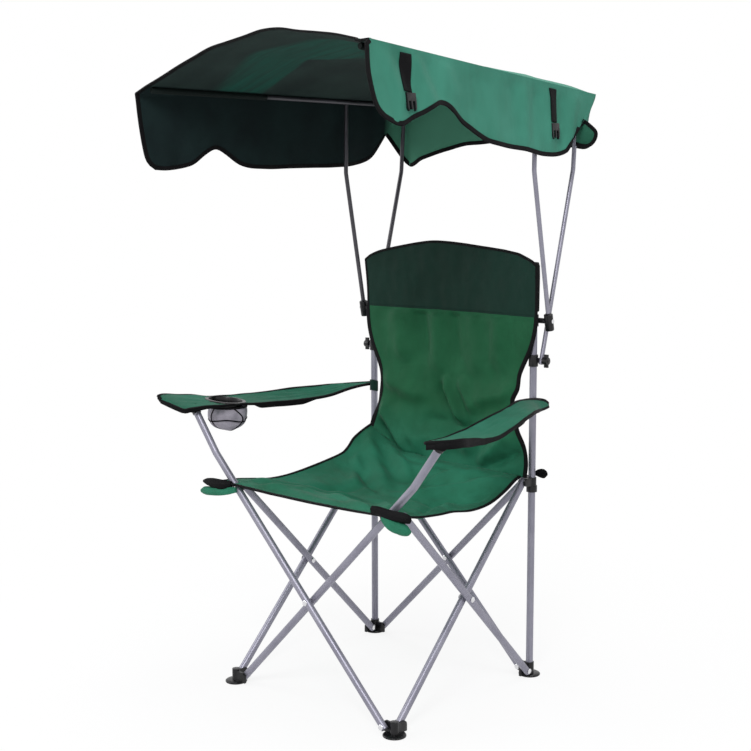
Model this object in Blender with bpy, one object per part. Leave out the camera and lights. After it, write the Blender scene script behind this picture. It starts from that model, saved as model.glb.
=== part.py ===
"""Canopy folding chair: a scissor-leg camp chair with a fold-down canopy on its rear posts.

Metres, +Z up. The origin is on the floor between the four feet, and the chair faces -Y.
Each corner has one leg in the plane just outside its corner and one just inside it, so that
the eight legs pass each other when the chair is folded into a bundle.
"""

import math

import bmesh
import bpy
from mathutils import Matrix, Vector

# Leg tubes and posts
TUBE_OD = 0.016
TUBE_WALL = 0.001
TUBE_SIDES = 16
GAP = 0.0003
OVERRUN = 0.002
SPAN = 0.471
PIN_INSET = 0.023
FOOT_PIN_Z = 0.0165
HUB_PIN_Z = 0.4505
LEG_OVERHANG = 0.0065
POST_TOP_Z = 0.930
POST_FOOT_FLOOR = 0.003
POST_CAP_RIM_H = 0.0024
POST_CAP_H = 0.0038

# Rivets and pins
PIN_R = 0.003
HEAD_R = 0.006
HEAD_H = 0.0024
ROUND_SIDES = 16
PIN_SIDES = 8
# Radius and height of a domed head's shoulder
DOME_SHARES = (0.6, 0.8)

# Feet
FOOT_R = 0.0245
FOOT_RIM_H = 0.003
FOOT_H = 0.0052
FOOT_BLOCK_H = 0.028
FOOT_TOP_SHARE = 0.6
EAR_T = 0.006
EAR_R = 0.0098
# The rounded end of an ear, in degrees, and its steps
FOOT_EAR_ARC = (70, 180, 5)
HUB_EAR_ARC = (70, 290, 8)
POST_SOCKET_WALL = 0.002
FRONT_BOSS_R = 0.009

# Seat hubs
HUB_BELOW = 0.0125
HUB_ABOVE = 0.003
REAR_HUB_ABOVE = 0.008
COLLAR_R = 0.0122
COLLAR_H = 0.012

# Arm tubes, the bent upper ends of the two front legs
ARM_BEND_RISE = 0.068
ARM_BEND_R = 0.04
ARM_TILT = math.radians(36.5)
ARM_LENGTH = 0.1175
BEND_STEPS = 3
ARM_CAP_WALL = 0.0016
ARM_CAP_H = 0.014
ARM_CAP_DOME = 0.004
ARM_CAP_SHOULDER_SHARES = (0.75, 0.7)

# Armrests
ARMREST_FRONT_REACH = 0.0745
ARMREST_FRONT_OUT = 0.056
ARMREST_W = 0.090
ARMREST_T = 0.005
ARMREST_Z = 0.6255
ARMREST_SLEEVE_H = 0.036
ARMREST_SLEEVE_WALL = 0.002
ARMREST_ROWS = 20
ARMREST_COLUMNS = 6
# Along each armrest from the front (0) to the post (1): its centre line's way in, half width,
# height and how far its outer edge is rolled down
ARMREST_LEFT_SHARES = (
    (0.00, 0.00, 0.13, 0.13, 0.0),
    (0.018, 0.00, 0.33, 0.12, 0.0),
    (0.064, 0.077, 0.44, 0.07, 0.0),
    (0.121, 0.16, 0.47, 0.02, 0.0),
    (0.18, 0.25, 0.50, -0.07, 0.0),
    (0.376, 0.342, 0.50, -0.07, 0.0),
    (0.513, 0.37, 0.41, -0.18, 0.0),
    (0.706, 0.49, 0.32, -0.16, 0.0),
    (0.862, 0.71, 0.24, -0.04, 0.0),
    (0.935, 0.84, 0.18, 0.03, 0.0),
    (1.00, 0.97, 0.11, 0.05, 0.0),
)
ARMREST_RIGHT_SHARES = (
    (0.00, 0.00, 0.13, 0.13, 0.0),
    (0.018, 0.00, 0.33, 0.12, 0.0),
    (0.064, 0.077, 0.44, 0.07, 0.0),
    (0.121, 0.16, 0.47, 0.02, 0.0),
    (0.18, 0.25, 0.50, -0.05, 0.0),
    (0.376, 0.342, 0.50, -0.09, 0.01),
    (0.513, 0.37, 0.41, 0.045, 0.055),
    (0.706, 0.49, 0.32, 0.18, 0.08),
    (0.862, 0.71, 0.24, 0.11, 0.12),
    (0.935, 0.84, 0.18, 0.06, 0.13),
    (1.00, 0.97, 0.11, 0.05, 0.12),
)

# Cup holder in the left armrest
CUP_FROM_FRONT = 0.155
CUP_BORE_R = 0.0365
CUP_NECK_T = 0.0025
CUP_FLANGE_W = 0.004
CUP_FLANGE_T = 0.003
CUP_NECK_H = 0.012
CUP_NET_T = 0.002
CUP_NET_H = 0.058
CUP_NET_BASE_R = 0.024
CUP_NET_SHARES = (0.12, 0.4, 0.7, 1.0)
CUP_NET_FULLNESS = 0.7

# Seat, back and head band
CLOTH_T = 0.0024
SEAT_FRONT_REACH = 0.0265
SEAT_FRONT_BOW = 0.012
SEAT_FRONT_OUT = 0.0145
SEAT_REAR_IN = 0.0115
SEAT_EDGE_SAG = 0.034
SEAT_MID_SAG = 0.050
SEAT_FRONT_SAG = 0.010
SEAT_REAR_LIFT = 0.009
# Where the sag starts and ends along the seat, as shares of its depth
SEAT_SAG_SHARES = (0.15, 0.94)
SEAT_SAG_FULLNESS = 0.7
SEAT_FRONT_POWER = 3
SEAT_REAR_POWER = 6
SEAT_ROWS = 16
SEAT_COLUMNS = 10
SEAT_TUBE_CLEAR = 0.0015
BACK_BASE_AHEAD = 0.027
BACK_CLEAR = 0.0016
BACK_BOW = 0.016
BAND_Z = 0.820
BACK_TOP_Z = 0.936
BACK_ARCH = 0.038
BACK_TOP_OUT = 0.0185
BACK_WAIST_IN = 0.0325
BACK_BASE_IN = 0.0035
BACK_WAIST_Z = 0.635
BACK_ROWS = 12
HEAD_BAND_ROWS = 4
BACK_COLUMNS = 10
POCKET_H = 0.055
POCKET_WALL = 0.0046

# Canopy carrier: clamps on the posts, poles and side bars
CLAMP_WALL = 0.0024
CLAMP_H = 0.026
POLE_R = 0.005
POLE_WALL = 0.0008
POLE_SIDES = 10
POLE_OVERHANG = 0.008
POLE_TOP_REACH = 0.0035
# Places behind the post's axis and above the floor
UPPER_PIVOT_PLACE = (0.0045, 0.811)
LOWER_PIVOT_PLACE = (0.0075, 0.722)
FRONT_BEND_PLACE = (-0.0585, 1.136)
FRONT_TOP_PLACE = (-0.0555, 1.300)
REAR_BEND_PLACE = (0.1205, 1.140)
REAR_TOP_PLACE = (0.1315, 1.300)
POLE_BEND_R = 0.05
POLE_PIN_R = 0.0022
POLE_HEAD_R = 0.0045
POLE_HEAD_H = 0.0018
BAR_FRONT_INSET = 0.024
BAR_REAR_OVERHANG = 0.010
BAR_CAP_H = 0.004
BAR_CAP_PLUG = 0.0065
BAR_PITCH_RIGHT = math.radians(4.5)
STAND_OFF_R = 0.006
KNOB_R = 0.0145
KNOB_HUB_R = 0.0085
KNOB_T = 0.013
KNOB_WING_T = 0.005

# Canopy cloth
CREASE_OUT = 0.0135
CREASE_FLARE = 0.010
CREASE_LIFT = 0.005
ROOF_LIFT = 0.0069
CREASE_FRONT_LIFT_RIGHT = 0.003
CANOPY_FRONT_LEFT_REACH = 0.1945
CANOPY_FRONT_RIGHT_REACH = 0.1385
CANOPY_REAR_REACH = 0.1515
CANOPY_ARCH = 0.057
# Height of the arch between the side bars, at even places from left to right
CANOPY_ARCH_SHARES = (0.0, 0.21, 0.44, 0.635, 0.82, 0.88, 0.935, 1.0, 0.925, 0.715, 0.535, 0.34, 0.08)
CANOPY_COLUMNS = 14
CANOPY_ROWS = 18
FLAP_ROWS = 4
FLAP_SPLAY = 0.010
FLAP_FRONT_CUT = 0.036
VALANCE_SPLAY = 0.012
CORNER_TUCK = 0.040
# Shares of a flap's length that its cut front and tucked rear corner take up, and how the fall curves
FLAP_CORNER_SHARE = 1 / 6
FALL_POWER = 1.4
# Drop of the hem along each edge, front to rear on the flaps and left to right at the back
LEFT_DROP = 0.150
LEFT_DROP_SHARES = (0.98, 1.11, 0.98, 0.77, 1.01, 1.06, 1.05, 1.04, 1.03, 0.99, 0.86, 0.50)
RIGHT_DROP = 0.150
RIGHT_DROP_SHARES = (0.92, 1.02, 0.85, 0.63, 0.82, 0.97, 1.00, 1.00, 1.02, 0.95, 0.67, 0.42)
REAR_DROP = 0.150
REAR_DROP_SHARES = (0.50, 1.01, 0.99, 0.99, 1.00, 1.01, 1.02, 1.02, 1.01, 0.98, 0.95, 0.93, 0.90, 0.87, 0.42)

# Straps and buckles on the canopy's flaps
STRAP_W = 0.022
STRAP_T = 0.0016
STRAP_ROWS = 6
STRAP_FRONT_REACH = 0.0365
STRAP_REAR_INSET = 0.0215
STRAP_COLUMN_SHARES = (-0.5, 0, 0.5)
STRAP_TOP_DROP = 0.010
STRAP_BOTTOM_DROP = 0.080
BUCKLE_GAP = 0.002
BUCKLE_H = 0.034
BUCKLE_T = 0.006
BUCKLE_W = 0.026
BUCKLE_BAR_SHARE = 0.45
BUCKLE_PRONG_SHARE = 0.16
BUCKLE_SHOULDER_SHARE = 0.8
BUCKLE_TONGUE_SHARE = 0.9

HALF = SPAN / 2
TUBE_R = TUBE_OD / 2
ARMREST_FRONT_Y = -HALF - ARMREST_FRONT_REACH
LEG_SLOPE = (SPAN - 2 * PIN_INSET) / (HUB_PIN_Z - FOOT_PIN_Z)
ARM_TOP_X = HALF - PIN_INSET + ARM_BEND_RISE * LEG_SLOPE + ARM_LENGTH * math.sin(ARM_TILT)
ARMREST_FRONT_X = ARM_TOP_X + ARMREST_FRONT_OUT
CUP_Y = ARMREST_FRONT_Y + CUP_FROM_FRONT
SEAT_FRONT_Y = -HALF - SEAT_FRONT_REACH
SEAT_HALF_FRONT = HALF + SEAT_FRONT_OUT
SEAT_HALF_REAR = HALF - SEAT_REAR_IN
BACK_BASE_Y = HALF - BACK_BASE_AHEAD
BACK_HALF_TOP = HALF + BACK_TOP_OUT
BACK_HALF_WAIST = HALF - BACK_WAIST_IN
BACK_HALF_BASE = HALF - BACK_BASE_IN
BAR_REAR_Y = HALF + REAR_TOP_PLACE[0] + BAR_REAR_OVERHANG
CANOPY_FRONT_LEFT_Y = -HALF - CANOPY_FRONT_LEFT_REACH
CANOPY_FRONT_RIGHT_Y = -HALF - CANOPY_FRONT_RIGHT_REACH
CANOPY_REAR_Y = HALF + CANOPY_REAR_REACH
STRAP_YS = (-HALF - STRAP_FRONT_REACH, HALF - STRAP_REAR_INSET)
PLANE = TUBE_R + GAP
BORE_R = TUBE_R + GAP
HOLE_R = PIN_R + GAP
POLE_HOLE_R = POLE_PIN_R + GAP
CLAMP_R = BORE_R + CLAMP_WALL
REAR_POLE_X = HALF + CLAMP_R + GAP + POLE_R
BAR_X = REAR_POLE_X + 2 * POLE_R + GAP
FRONT_POLE_X = BAR_X + 2 * POLE_R + GAP
KNOB_X = REAR_POLE_X + POLE_R + GAP
BACK_Y = HALF - CLAMP_R - BACK_CLEAR - CLOTH_T / 2
LEG_END_REACH = math.hypot(TUBE_R, LEG_OVERHANG)
SEAT_CORNER_Z = HUB_PIN_Z + LEG_END_REACH + 2 * GAP + CLOTH_T / 2
SEAT_REAR_Y = BACK_BASE_Y - CLOTH_T / 2 - 2 * GAP
BACK_BASE_Z = HUB_PIN_Z + LEG_END_REACH + 3 * GAP
CREASE_X = FRONT_POLE_X + CREASE_OUT

SIDES = {"left": -1, "right": 1}
ENDS = {"front": -1, "rear": 1}


def behind_post(place):
    """Y and Z of a place that is given from the post's axis."""
    return (HALF + place[0], place[1])


UPPER_PIVOT = behind_post(UPPER_PIVOT_PLACE)
LOWER_PIVOT = behind_post(LOWER_PIVOT_PLACE)
FRONT_POLE_BEND = behind_post(FRONT_BEND_PLACE)
FRONT_POLE_TOP = behind_post(FRONT_TOP_PLACE)
REAR_POLE_BEND = behind_post(REAR_BEND_PLACE)
REAR_POLE_TOP = behind_post(REAR_TOP_PLACE)
REAR_TOP_Y, REAR_TOP_Z = REAR_POLE_TOP


def clear_scene():
    for obj in list(bpy.data.objects):
        bpy.data.objects.remove(obj, do_unlink=True)


def make_material(name, colour, roughness, metallic=0.0):
    material = bpy.data.materials.new(name)
    material.use_nodes = True
    shader = material.node_tree.nodes["Principled BSDF"]
    shader.inputs["Base Color"].default_value = (*colour, 1)
    shader.inputs["Roughness"].default_value = roughness
    shader.inputs["Metallic"].default_value = metallic
    material.diffuse_color = (*colour, 1)
    return material


def make_object(name, mesh_or_bmesh, material, smooth=True):
    mesh = mesh_or_bmesh
    if isinstance(mesh, bmesh.types.BMesh):
        mesh = bpy.data.meshes.new(name)
        bmesh.ops.recalc_face_normals(mesh_or_bmesh, faces=mesh_or_bmesh.faces)
        mesh_or_bmesh.to_mesh(mesh)
        mesh_or_bmesh.free()
    obj = bpy.data.objects.new(name, mesh)
    bpy.context.scene.collection.objects.link(obj)
    if material:
        mesh.materials.append(material)
    if smooth:
        mesh.shade_smooth()
        mesh.set_sharp_from_angle(angle=math.radians(35))
    return obj


def helper(name, shape):
    """A shape that another object is joined with or cut by, and that isn't a piece itself."""
    obj = make_object(name, shape, None)
    obj.hide_render = True
    obj.display_type = "WIRE"
    return obj


def add_boolean(obj, tool, operation):
    modifier = obj.modifiers.new(operation.title(), "BOOLEAN")
    modifier.operation = operation
    modifier.object = tool
    modifier.solver = "EXACT"


def join(obj, *shapes):
    for shape in shapes:
        add_boolean(obj, helper(obj.name + "_add", shape), "UNION")


def cut(obj, *shapes):
    for shape in shapes:
        add_boolean(obj, helper(obj.name + "_cut", shape), "DIFFERENCE")


def frame_along(start, end):
    """The matrix that puts +Z along start to end, at start."""
    direction = Vector(end) - Vector(start)
    return Matrix.Translation(start) @ direction.to_track_quat("Z", "Y").to_matrix().to_4x4()


def turned(profile, matrix, sides=ROUND_SIDES):
    """A closed turned shape from (radius, height) points, from the bottom up."""
    bm = bmesh.new()
    rings = []
    for radius, height in profile:
        if radius == 0:
            rings.append([bm.verts.new((0, 0, height))])
            continue
        angles = [2 * math.pi * i / sides for i in range(sides)]
        rings.append([bm.verts.new((radius * math.cos(a), radius * math.sin(a), height)) for a in angles])
    for lower, upper in zip(rings, rings[1:]):
        for i in range(sides):
            j = (i + 1) % sides
            corners = [ring[k % len(ring)] for ring, k in ((lower, i), (lower, j), (upper, j), (upper, i))]
            unique = list(dict.fromkeys(corners))
            if len(unique) > 2:
                bm.faces.new(unique)
    bm.transform(matrix)
    return bm


def cylinder(start, end, radius, sides=ROUND_SIDES):
    length = (Vector(end) - Vector(start)).length
    return turned(((0, 0), (radius, 0), (radius, length), (0, length)), frame_along(start, end), sides)


def turned_ring(inner, outer, low, high, centre, sides=ROUND_SIDES):
    """A plain upright ring round centre."""
    bm = bmesh.new()
    corners = ((inner, low), (outer, low), (outer, high), (inner, high))
    loops = []
    for i in range(sides):
        a = 2 * math.pi * i / sides
        loops.append([bm.verts.new((r * math.cos(a), r * math.sin(a), z)) for r, z in corners])
    for i in range(sides):
        here, there = loops[i], loops[(i + 1) % sides]
        for k in range(len(corners)):
            m = (k + 1) % len(corners)
            bm.faces.new((here[k], there[k], there[m], here[m]))
    bm.transform(Matrix.Translation(centre))
    return bm


def headed_pin(start, end, radius=PIN_R, head_r=HEAD_R, head_h=HEAD_H, head_at_start=False):
    """A pin from start to end, with a domed head past its end, and one past its start if asked."""
    length = (Vector(end) - Vector(start)).length
    shoulder_r, shoulder_h = head_r * DOME_SHARES[0], head_h * DOME_SHARES[1]
    profile = [(0, 0), (radius, 0)]
    if head_at_start:
        profile = [(0, -head_h), (shoulder_r, -shoulder_h), (head_r, 0), (radius, 0)]
    profile += [(radius, length), (head_r, length), (shoulder_r, length + shoulder_h), (0, length + head_h)]
    return turned(profile, frame_along(start, end), PIN_SIDES)


def slab(outline, axis, low, high):
    """An outline in the plane square to axis (0 for X, 1 for Y, 2 for Z), from low to high along it."""
    bm = bmesh.new()
    rings = []
    for level in (low, high):
        ring = []
        for a, b in outline:
            place = [a, b]
            place.insert(axis, level)
            ring.append(bm.verts.new(place))
        rings.append(ring)
    bm.faces.new(rings[0])
    bm.faces.new(rings[1])
    count = len(outline)
    for i in range(count):
        j = (i + 1) % count
        bm.faces.new((rings[0][i], rings[0][j], rings[1][j], rings[1][i]))
    return bm


def arc(centre, radius, start_degrees, end_degrees, steps):
    points = []
    for i in range(steps + 1):
        a = math.radians(start_degrees + (end_degrees - start_degrees) * i / steps)
        points.append((centre[0] + radius * math.cos(a), centre[1] + radius * math.sin(a)))
    return points


def rounded_path(points, radius, steps=BEND_STEPS):
    """A path through points, each inner corner taken as an arc of this radius."""
    points = [Vector(p) for p in points]
    path = [points[0]]
    for before, corner, after in zip(points, points[1:], points[2:]):
        into, out = (corner - before).normalized(), (after - corner).normalized()
        turn = into.angle(out)
        reach = radius * math.tan(turn / 2)
        centre_way = (out - into).normalized()
        centre = corner + centre_way * (radius / math.cos(turn / 2))
        first = corner - into * reach - centre
        axis = into.cross(out)
        path += [centre + Matrix.Rotation(turn * i / steps, 3, axis) @ first for i in range(steps + 1)]
    path.append(points[-1])
    return path


def hollow_tube(path, outer, wall, sides):
    """A pipe with open ends along a path that lies in one upright plane."""
    path = [Vector(p) for p in path]
    chord = path[-1] - path[0]
    normal = Vector((1, 0, 0)) if abs(chord.x) < abs(chord.y) + GAP / 2 else Vector((0, 1, 0))
    bm = bmesh.new()
    skins = []
    for radius in (outer, outer - wall):
        rings = []
        for i, point in enumerate(path):
            into = (point - path[i - 1]).normalized() if i else (path[1] - point).normalized()
            out = (path[i + 1] - point).normalized() if i + 1 < len(path) else into
            along = (into + out).normalized()
            across = along.cross(normal).normalized() / math.cos(into.angle(out) / 2)
            ring = []
            for k in range(sides):
                a = 2 * math.pi * k / sides
                ring.append(bm.verts.new(point + radius * (math.cos(a) * normal + math.sin(a) * across)))
            rings.append(ring)
        for lower, upper in zip(rings, rings[1:]):
            for k in range(sides):
                m = (k + 1) % sides
                bm.faces.new((lower[k], lower[m], upper[m], upper[k]))
        skins.append(rings)
    for end in (0, -1):
        for k in range(sides):
            m = (k + 1) % sides
            bm.faces.new((skins[0][end][k], skins[0][end][m], skins[1][end][m], skins[1][end][k]))
    return bm


def outer_across(side, end):
    """Whether the leg that runs across at this corner's foot lies in the outer plane."""
    return SIDES[side] * ENDS[end] < 0


def corner_slab(side, end, across, outer, outline, z_shift):
    """An ear beside a leg end: outline is (outward, up), in the plane beside that leg."""
    low, high = (-EAR_T, 0) if outer else (0, EAR_T)
    sx, sy = SIDES[side], ENDS[end]
    normal_sign, along_sign = (sy, sx) if across else (sx, sy)
    bounds = sorted((normal_sign * (HALF + low), normal_sign * (HALF + high)))
    points = [(along_sign * (HALF + u), w + z_shift) for u, w in outline]
    return slab(points, 1 if across else 0, *bounds)


def corner_pin(side, end, across, outer, pin_z):
    """A pin out of the ear and through the leg end, with its head on the leg's free face."""
    sx, sy = SIDES[side], ENDS[end]
    way = 1 if outer else -1
    near = HALF - way * EAR_T / 2
    far = HALF + way * (PLANE + TUBE_R + GAP)
    inset = HALF - PIN_INSET
    if across:
        return headed_pin((sx * inset, sy * near, pin_z), (sx * inset, sy * far, pin_z))
    return headed_pin((sx * near, sy * inset, pin_z), (sx * far, sy * inset, pin_z))


def build_foot(side, end, material):
    sx, sy = SIDES[side], ENDS[end]
    centre = (sx * HALF, sy * HALF, 0)
    rim = ((0, 0), (FOOT_R - GAP * 2, 0), (FOOT_R, GAP * 2), (FOOT_R, FOOT_RIM_H))
    top = ((FOOT_R - FOOT_H / 2, FOOT_H - GAP * 2), (FOOT_R * FOOT_TOP_SHARE, FOOT_H), (0, FOOT_H))
    disc = turned(rim + top, Matrix.Translation(centre), 2 * ROUND_SIDES)
    foot = make_object(f"foot_{end}_{side}", disc, material)
    ear = [(-PIN_INSET - EAR_R, POST_FOOT_FLOOR), (OVERRUN, POST_FOOT_FLOOR), (OVERRUN, FOOT_BLOCK_H)]
    ear += arc((-PIN_INSET, FOOT_PIN_Z), EAR_R, *FOOT_EAR_ARC)
    across_outer = outer_across(side, end)
    join(foot, corner_slab(side, end, True, across_outer, ear, 0))
    join(foot, corner_slab(side, end, False, not across_outer, ear, 0))
    boss_r = BORE_R + POST_SOCKET_WALL if end == "rear" else FRONT_BOSS_R
    base = Vector(centre)
    block_top = FOOT_BLOCK_H + OVERRUN
    block_base = POST_FOOT_FLOOR - OVERRUN / 2
    join(foot, cylinder(base + Vector((0, 0, block_base)), base + Vector((0, 0, block_top)), boss_r))
    if end == "rear":
        socket = base + Vector((0, 0, POST_FOOT_FLOOR))
        cut(foot, cylinder(socket, base + Vector((0, 0, block_top + OVERRUN)), BORE_R))
    join(foot, corner_pin(side, end, True, across_outer, FOOT_PIN_Z))
    join(foot, corner_pin(side, end, False, not across_outer, FOOT_PIN_Z))
    return foot


def build_hub(side, end, material):
    sx, sy = SIDES[side], ENDS[end]
    base = Vector((sx * HALF, sy * HALF, HUB_PIN_Z))
    above = REAR_HUB_ABOVE if end == "rear" else HUB_ABOVE
    boss_r = BORE_R + POST_SOCKET_WALL if end == "rear" else FRONT_BOSS_R
    body = cylinder(base - Vector((0, 0, HUB_BELOW)), base + Vector((0, 0, above)), boss_r)
    hub = make_object(f"hub_{end}_{side}", body, material)
    ear = [(OVERRUN, -HUB_BELOW + GAP), (OVERRUN, above - GAP)]
    ear += arc((-PIN_INSET, 0), EAR_R, *HUB_EAR_ARC)
    across_outer = not outer_across(side, end)
    join(hub, corner_slab(side, end, True, across_outer, ear, HUB_PIN_Z))
    join(hub, corner_slab(side, end, False, not across_outer, ear, HUB_PIN_Z))
    if end == "rear":
        lip = base - Vector((0, 0, HUB_BELOW))
        join(hub, cylinder(lip - Vector((0, 0, COLLAR_H)), lip + Vector((0, 0, OVERRUN)), COLLAR_R))
        reach = Vector((0, 0, HUB_BELOW + COLLAR_H + OVERRUN))
        cut(hub, cylinder(base - reach, base + reach, BORE_R))
    join(hub, corner_pin(side, end, True, across_outer, HUB_PIN_Z))
    join(hub, corner_pin(side, end, False, not across_outer, HUB_PIN_Z))
    return hub


def leg_points(across, foot_sign, plane):
    """Foot pin and hub pin of a leg; plane is its coordinate square to itself."""
    inset = foot_sign * (HALF - PIN_INSET)
    if across:
        return Vector((inset, plane, FOOT_PIN_Z)), Vector((-inset, plane, HUB_PIN_Z))
    return Vector((plane, inset, FOOT_PIN_Z)), Vector((plane, -inset, HUB_PIN_Z))


def arm_points(hub_pin, direction):
    """Bend and top of an arm tube, past the hub pin of a front leg."""
    bend = hub_pin + direction * (ARM_BEND_RISE / direction.z)
    out = math.copysign(math.sin(ARM_TILT), direction.x)
    return bend, bend + ARM_LENGTH * Vector((out, 0, math.cos(ARM_TILT)))


def build_leg(name, across, foot_sign, plane, arm, material):
    foot_pin, hub_pin = leg_points(across, foot_sign, plane)
    direction = (hub_pin - foot_pin).normalized()
    path = [foot_pin - direction * LEG_OVERHANG, hub_pin + direction * LEG_OVERHANG]
    if arm:
        bend, top = arm_points(hub_pin, direction)
        path = rounded_path((path[0], bend, top), ARM_BEND_R)
    leg = make_object(name, hollow_tube(path, TUBE_R, TUBE_WALL, TUBE_SIDES), material)
    through = Vector((0, PLANE, 0)) if across else Vector((PLANE, 0, 0))
    for pin in (foot_pin, (foot_pin + hub_pin) / 2, hub_pin):
        cut(leg, cylinder(pin - through - through, pin + through + through, HOLE_R, PIN_SIDES))
    return leg


def build_crossing(name, across, sign, material):
    """The rivet where two legs cross, with a head on each leg's outer face."""
    height = (FOOT_PIN_Z + HUB_PIN_Z) / 2
    reach = PLANE + TUBE_R + GAP
    ends = [sign * (HALF - reach), sign * (HALF + reach)]
    start, end = [(0, v, height) if across else (v, 0, height) for v in ends]
    return make_object(name, headed_pin(start, end, head_at_start=True), material)


def build_arm_cap(side, plane, material):
    sign = SIDES[side]
    foot_pin, hub_pin = leg_points(True, -sign, plane)
    bend, top = arm_points(hub_pin, (hub_pin - foot_pin).normalized())
    along = (top - bend).normalized()
    outer, inner = BORE_R + ARM_CAP_WALL, BORE_R
    floor = ARM_CAP_H + GAP
    shoulder_r, shoulder_h = ARM_CAP_SHOULDER_SHARES[0] * outer, ARM_CAP_SHOULDER_SHARES[1] * ARM_CAP_DOME
    profile = ((inner, 0), (outer, 0), (outer, floor), (shoulder_r, floor + shoulder_h))
    profile += ((0, floor + ARM_CAP_DOME),)
    cap = turned(((0, floor), (inner, floor)) + profile, frame_along(top - along * ARM_CAP_H, top))
    return make_object(f"arm_cap_{side}", cap, material)


def build_post(side, material):
    x = SIDES[side] * HALF
    path = [(x, HALF, POST_FOOT_FLOOR + GAP), (x, HALF, POST_TOP_Z)]
    return make_object(f"rear_post_{side}", hollow_tube(path, TUBE_R, TUBE_WALL, TUBE_SIDES), material)


def build_post_cap(side, material):
    plug_r = TUBE_R - TUBE_WALL - GAP
    plug_h = TUBE_OD
    profile = ((0, -plug_h), (plug_r, -plug_h), (plug_r, GAP), (TUBE_R, GAP))
    profile += ((TUBE_R, POST_CAP_RIM_H), (0, POST_CAP_H))
    centre = Matrix.Translation((SIDES[side] * HALF, HALF, POST_TOP_Z))
    return make_object(f"post_cap_{side}", turned(profile, centre), material)


def share_at(table, s, column):
    """A value from a table of shares whose first column runs from 0 to 1."""
    for low, high in zip(table, table[1:]):
        if s <= high[0]:
            t = (s - low[0]) / (high[0] - low[0])
            t = t * t * (3 - 2 * t)
            return low[column] + (high[column] - low[column]) * t
    return table[-1][column]


def even_share(shares, s):
    """A value at s from 0 to 1 along evenly spaced shares, smoothly joined."""
    table = [(i / (len(shares) - 1), share) for i, share in enumerate(shares)]
    return share_at(table, min(max(s, 0), 1), 1)


def cloth(name, rows, thickness, material, offset=0):
    """A closed sheet of this thickness over a grid of points, at offset -1 below it, 0 on it or 1 above."""
    bm = bmesh.new()
    verts = [[bm.verts.new(point) for point in row] for row in rows]
    for lower, upper in zip(verts, verts[1:]):
        for k in range(len(lower) - 1):
            bm.faces.new((lower[k], lower[k + 1], upper[k + 1], upper[k]))
    mesh = bpy.data.meshes.new(name)
    bm.to_mesh(mesh)
    bm.free()
    obj = make_object(name, mesh, material)
    solid = obj.modifiers.new("Thickness", "SOLIDIFY")
    solid.thickness = thickness
    solid.offset = offset
    solid.use_even_offset = True
    return obj


def armrest_place(side, s):
    """Centre, half width and outer edge's fall of an armrest at s from the front (0) to the post (1)."""
    shares = ARMREST_LEFT_SHARES if side == "left" else ARMREST_RIGHT_SHARES
    way_in, half, height, roll = [share_at(shares, s, column) for column in range(1, len(shares[0]))]
    x = SIDES[side] * (ARMREST_FRONT_X + (HALF - ARMREST_FRONT_X) * way_in)
    y = ARMREST_FRONT_Y + (HALF - ARMREST_FRONT_Y) * s
    return Vector((x, y, ARMREST_Z + ARMREST_W * height)), ARMREST_W * half, ARMREST_W * roll


def armrest_row(side, s):
    centre, half, fall = armrest_place(side, s)
    columns = [2 * k / ARMREST_COLUMNS - 1 for k in range(ARMREST_COLUMNS + 1)]
    return [centre + Vector((SIDES[side] * half * c, 0, -fall * c)) for c in columns]


def cup_centre():
    return armrest_place("left", (CUP_Y - ARMREST_FRONT_Y) / (HALF - ARMREST_FRONT_Y))[0]


def build_armrest(side, material):
    rows = [armrest_row(side, i / ARMREST_ROWS) for i in range(ARMREST_ROWS + 1)]
    rest = cloth(f"armrest_{side}", rows, ARMREST_T, material)
    axis = Vector((SIDES[side] * HALF, HALF, armrest_place(side, 1)[0].z))
    half_sleeve = Vector((0, 0, ARMREST_SLEEVE_H / 2))
    over = Vector((0, 0, OVERRUN))
    join(rest, cylinder(axis - half_sleeve, axis + half_sleeve, BORE_R + ARMREST_SLEEVE_WALL))
    cut(rest, cylinder(axis - half_sleeve - over, axis + half_sleeve + over, BORE_R))
    if side == "left":
        centre = cup_centre()
        deep = Vector((0, 0, ARMREST_T + OVERRUN))
        hole_r = CUP_BORE_R + CUP_NECK_T + GAP
        cut(rest, cylinder(centre - deep, centre + deep, hole_r, 2 * ROUND_SIDES))
    return rest


def build_cup_ring(material):
    """A flange on the cloth with a neck down through its hole."""
    centre = cup_centre() + Vector((0, 0, ARMREST_T / 2 + GAP))
    neck = CUP_BORE_R + CUP_NECK_T
    sides = 2 * ROUND_SIDES
    flange = turned_ring(CUP_BORE_R, neck + CUP_FLANGE_W, 0, CUP_FLANGE_T, centre, sides)
    ring = make_object("cup_ring", flange, material)
    join(ring, turned_ring(CUP_BORE_R, neck, -CUP_NECK_H, CUP_FLANGE_T / 2, centre, sides))
    return ring


def build_cup_net(material):
    """The bag under the ring, as a thin cup with an open top."""
    rim = CUP_BORE_R + CUP_NECK_T / 2 + CUP_NET_T / 2
    profile = [(0, 0), (CUP_NET_BASE_R, 0)]
    wall = []
    for t in CUP_NET_SHARES:
        wall.append((CUP_NET_BASE_R + (rim - CUP_NET_BASE_R) * t**CUP_NET_FULLNESS, CUP_NET_H * t))
    profile += wall
    profile += [(r - CUP_NET_T, max(z, CUP_NET_T)) for r, z in reversed(wall)]
    profile += [(CUP_NET_BASE_R - CUP_NET_T, CUP_NET_T), (0, CUP_NET_T)]
    top = cup_centre() + Vector((0, 0, ARMREST_T / 2 - CUP_NECK_H))
    net = turned(profile, Matrix.Translation(top - Vector((0, 0, CUP_NET_H))), 2 * ROUND_SIDES)
    return make_object("cup_net", net, material)


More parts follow.
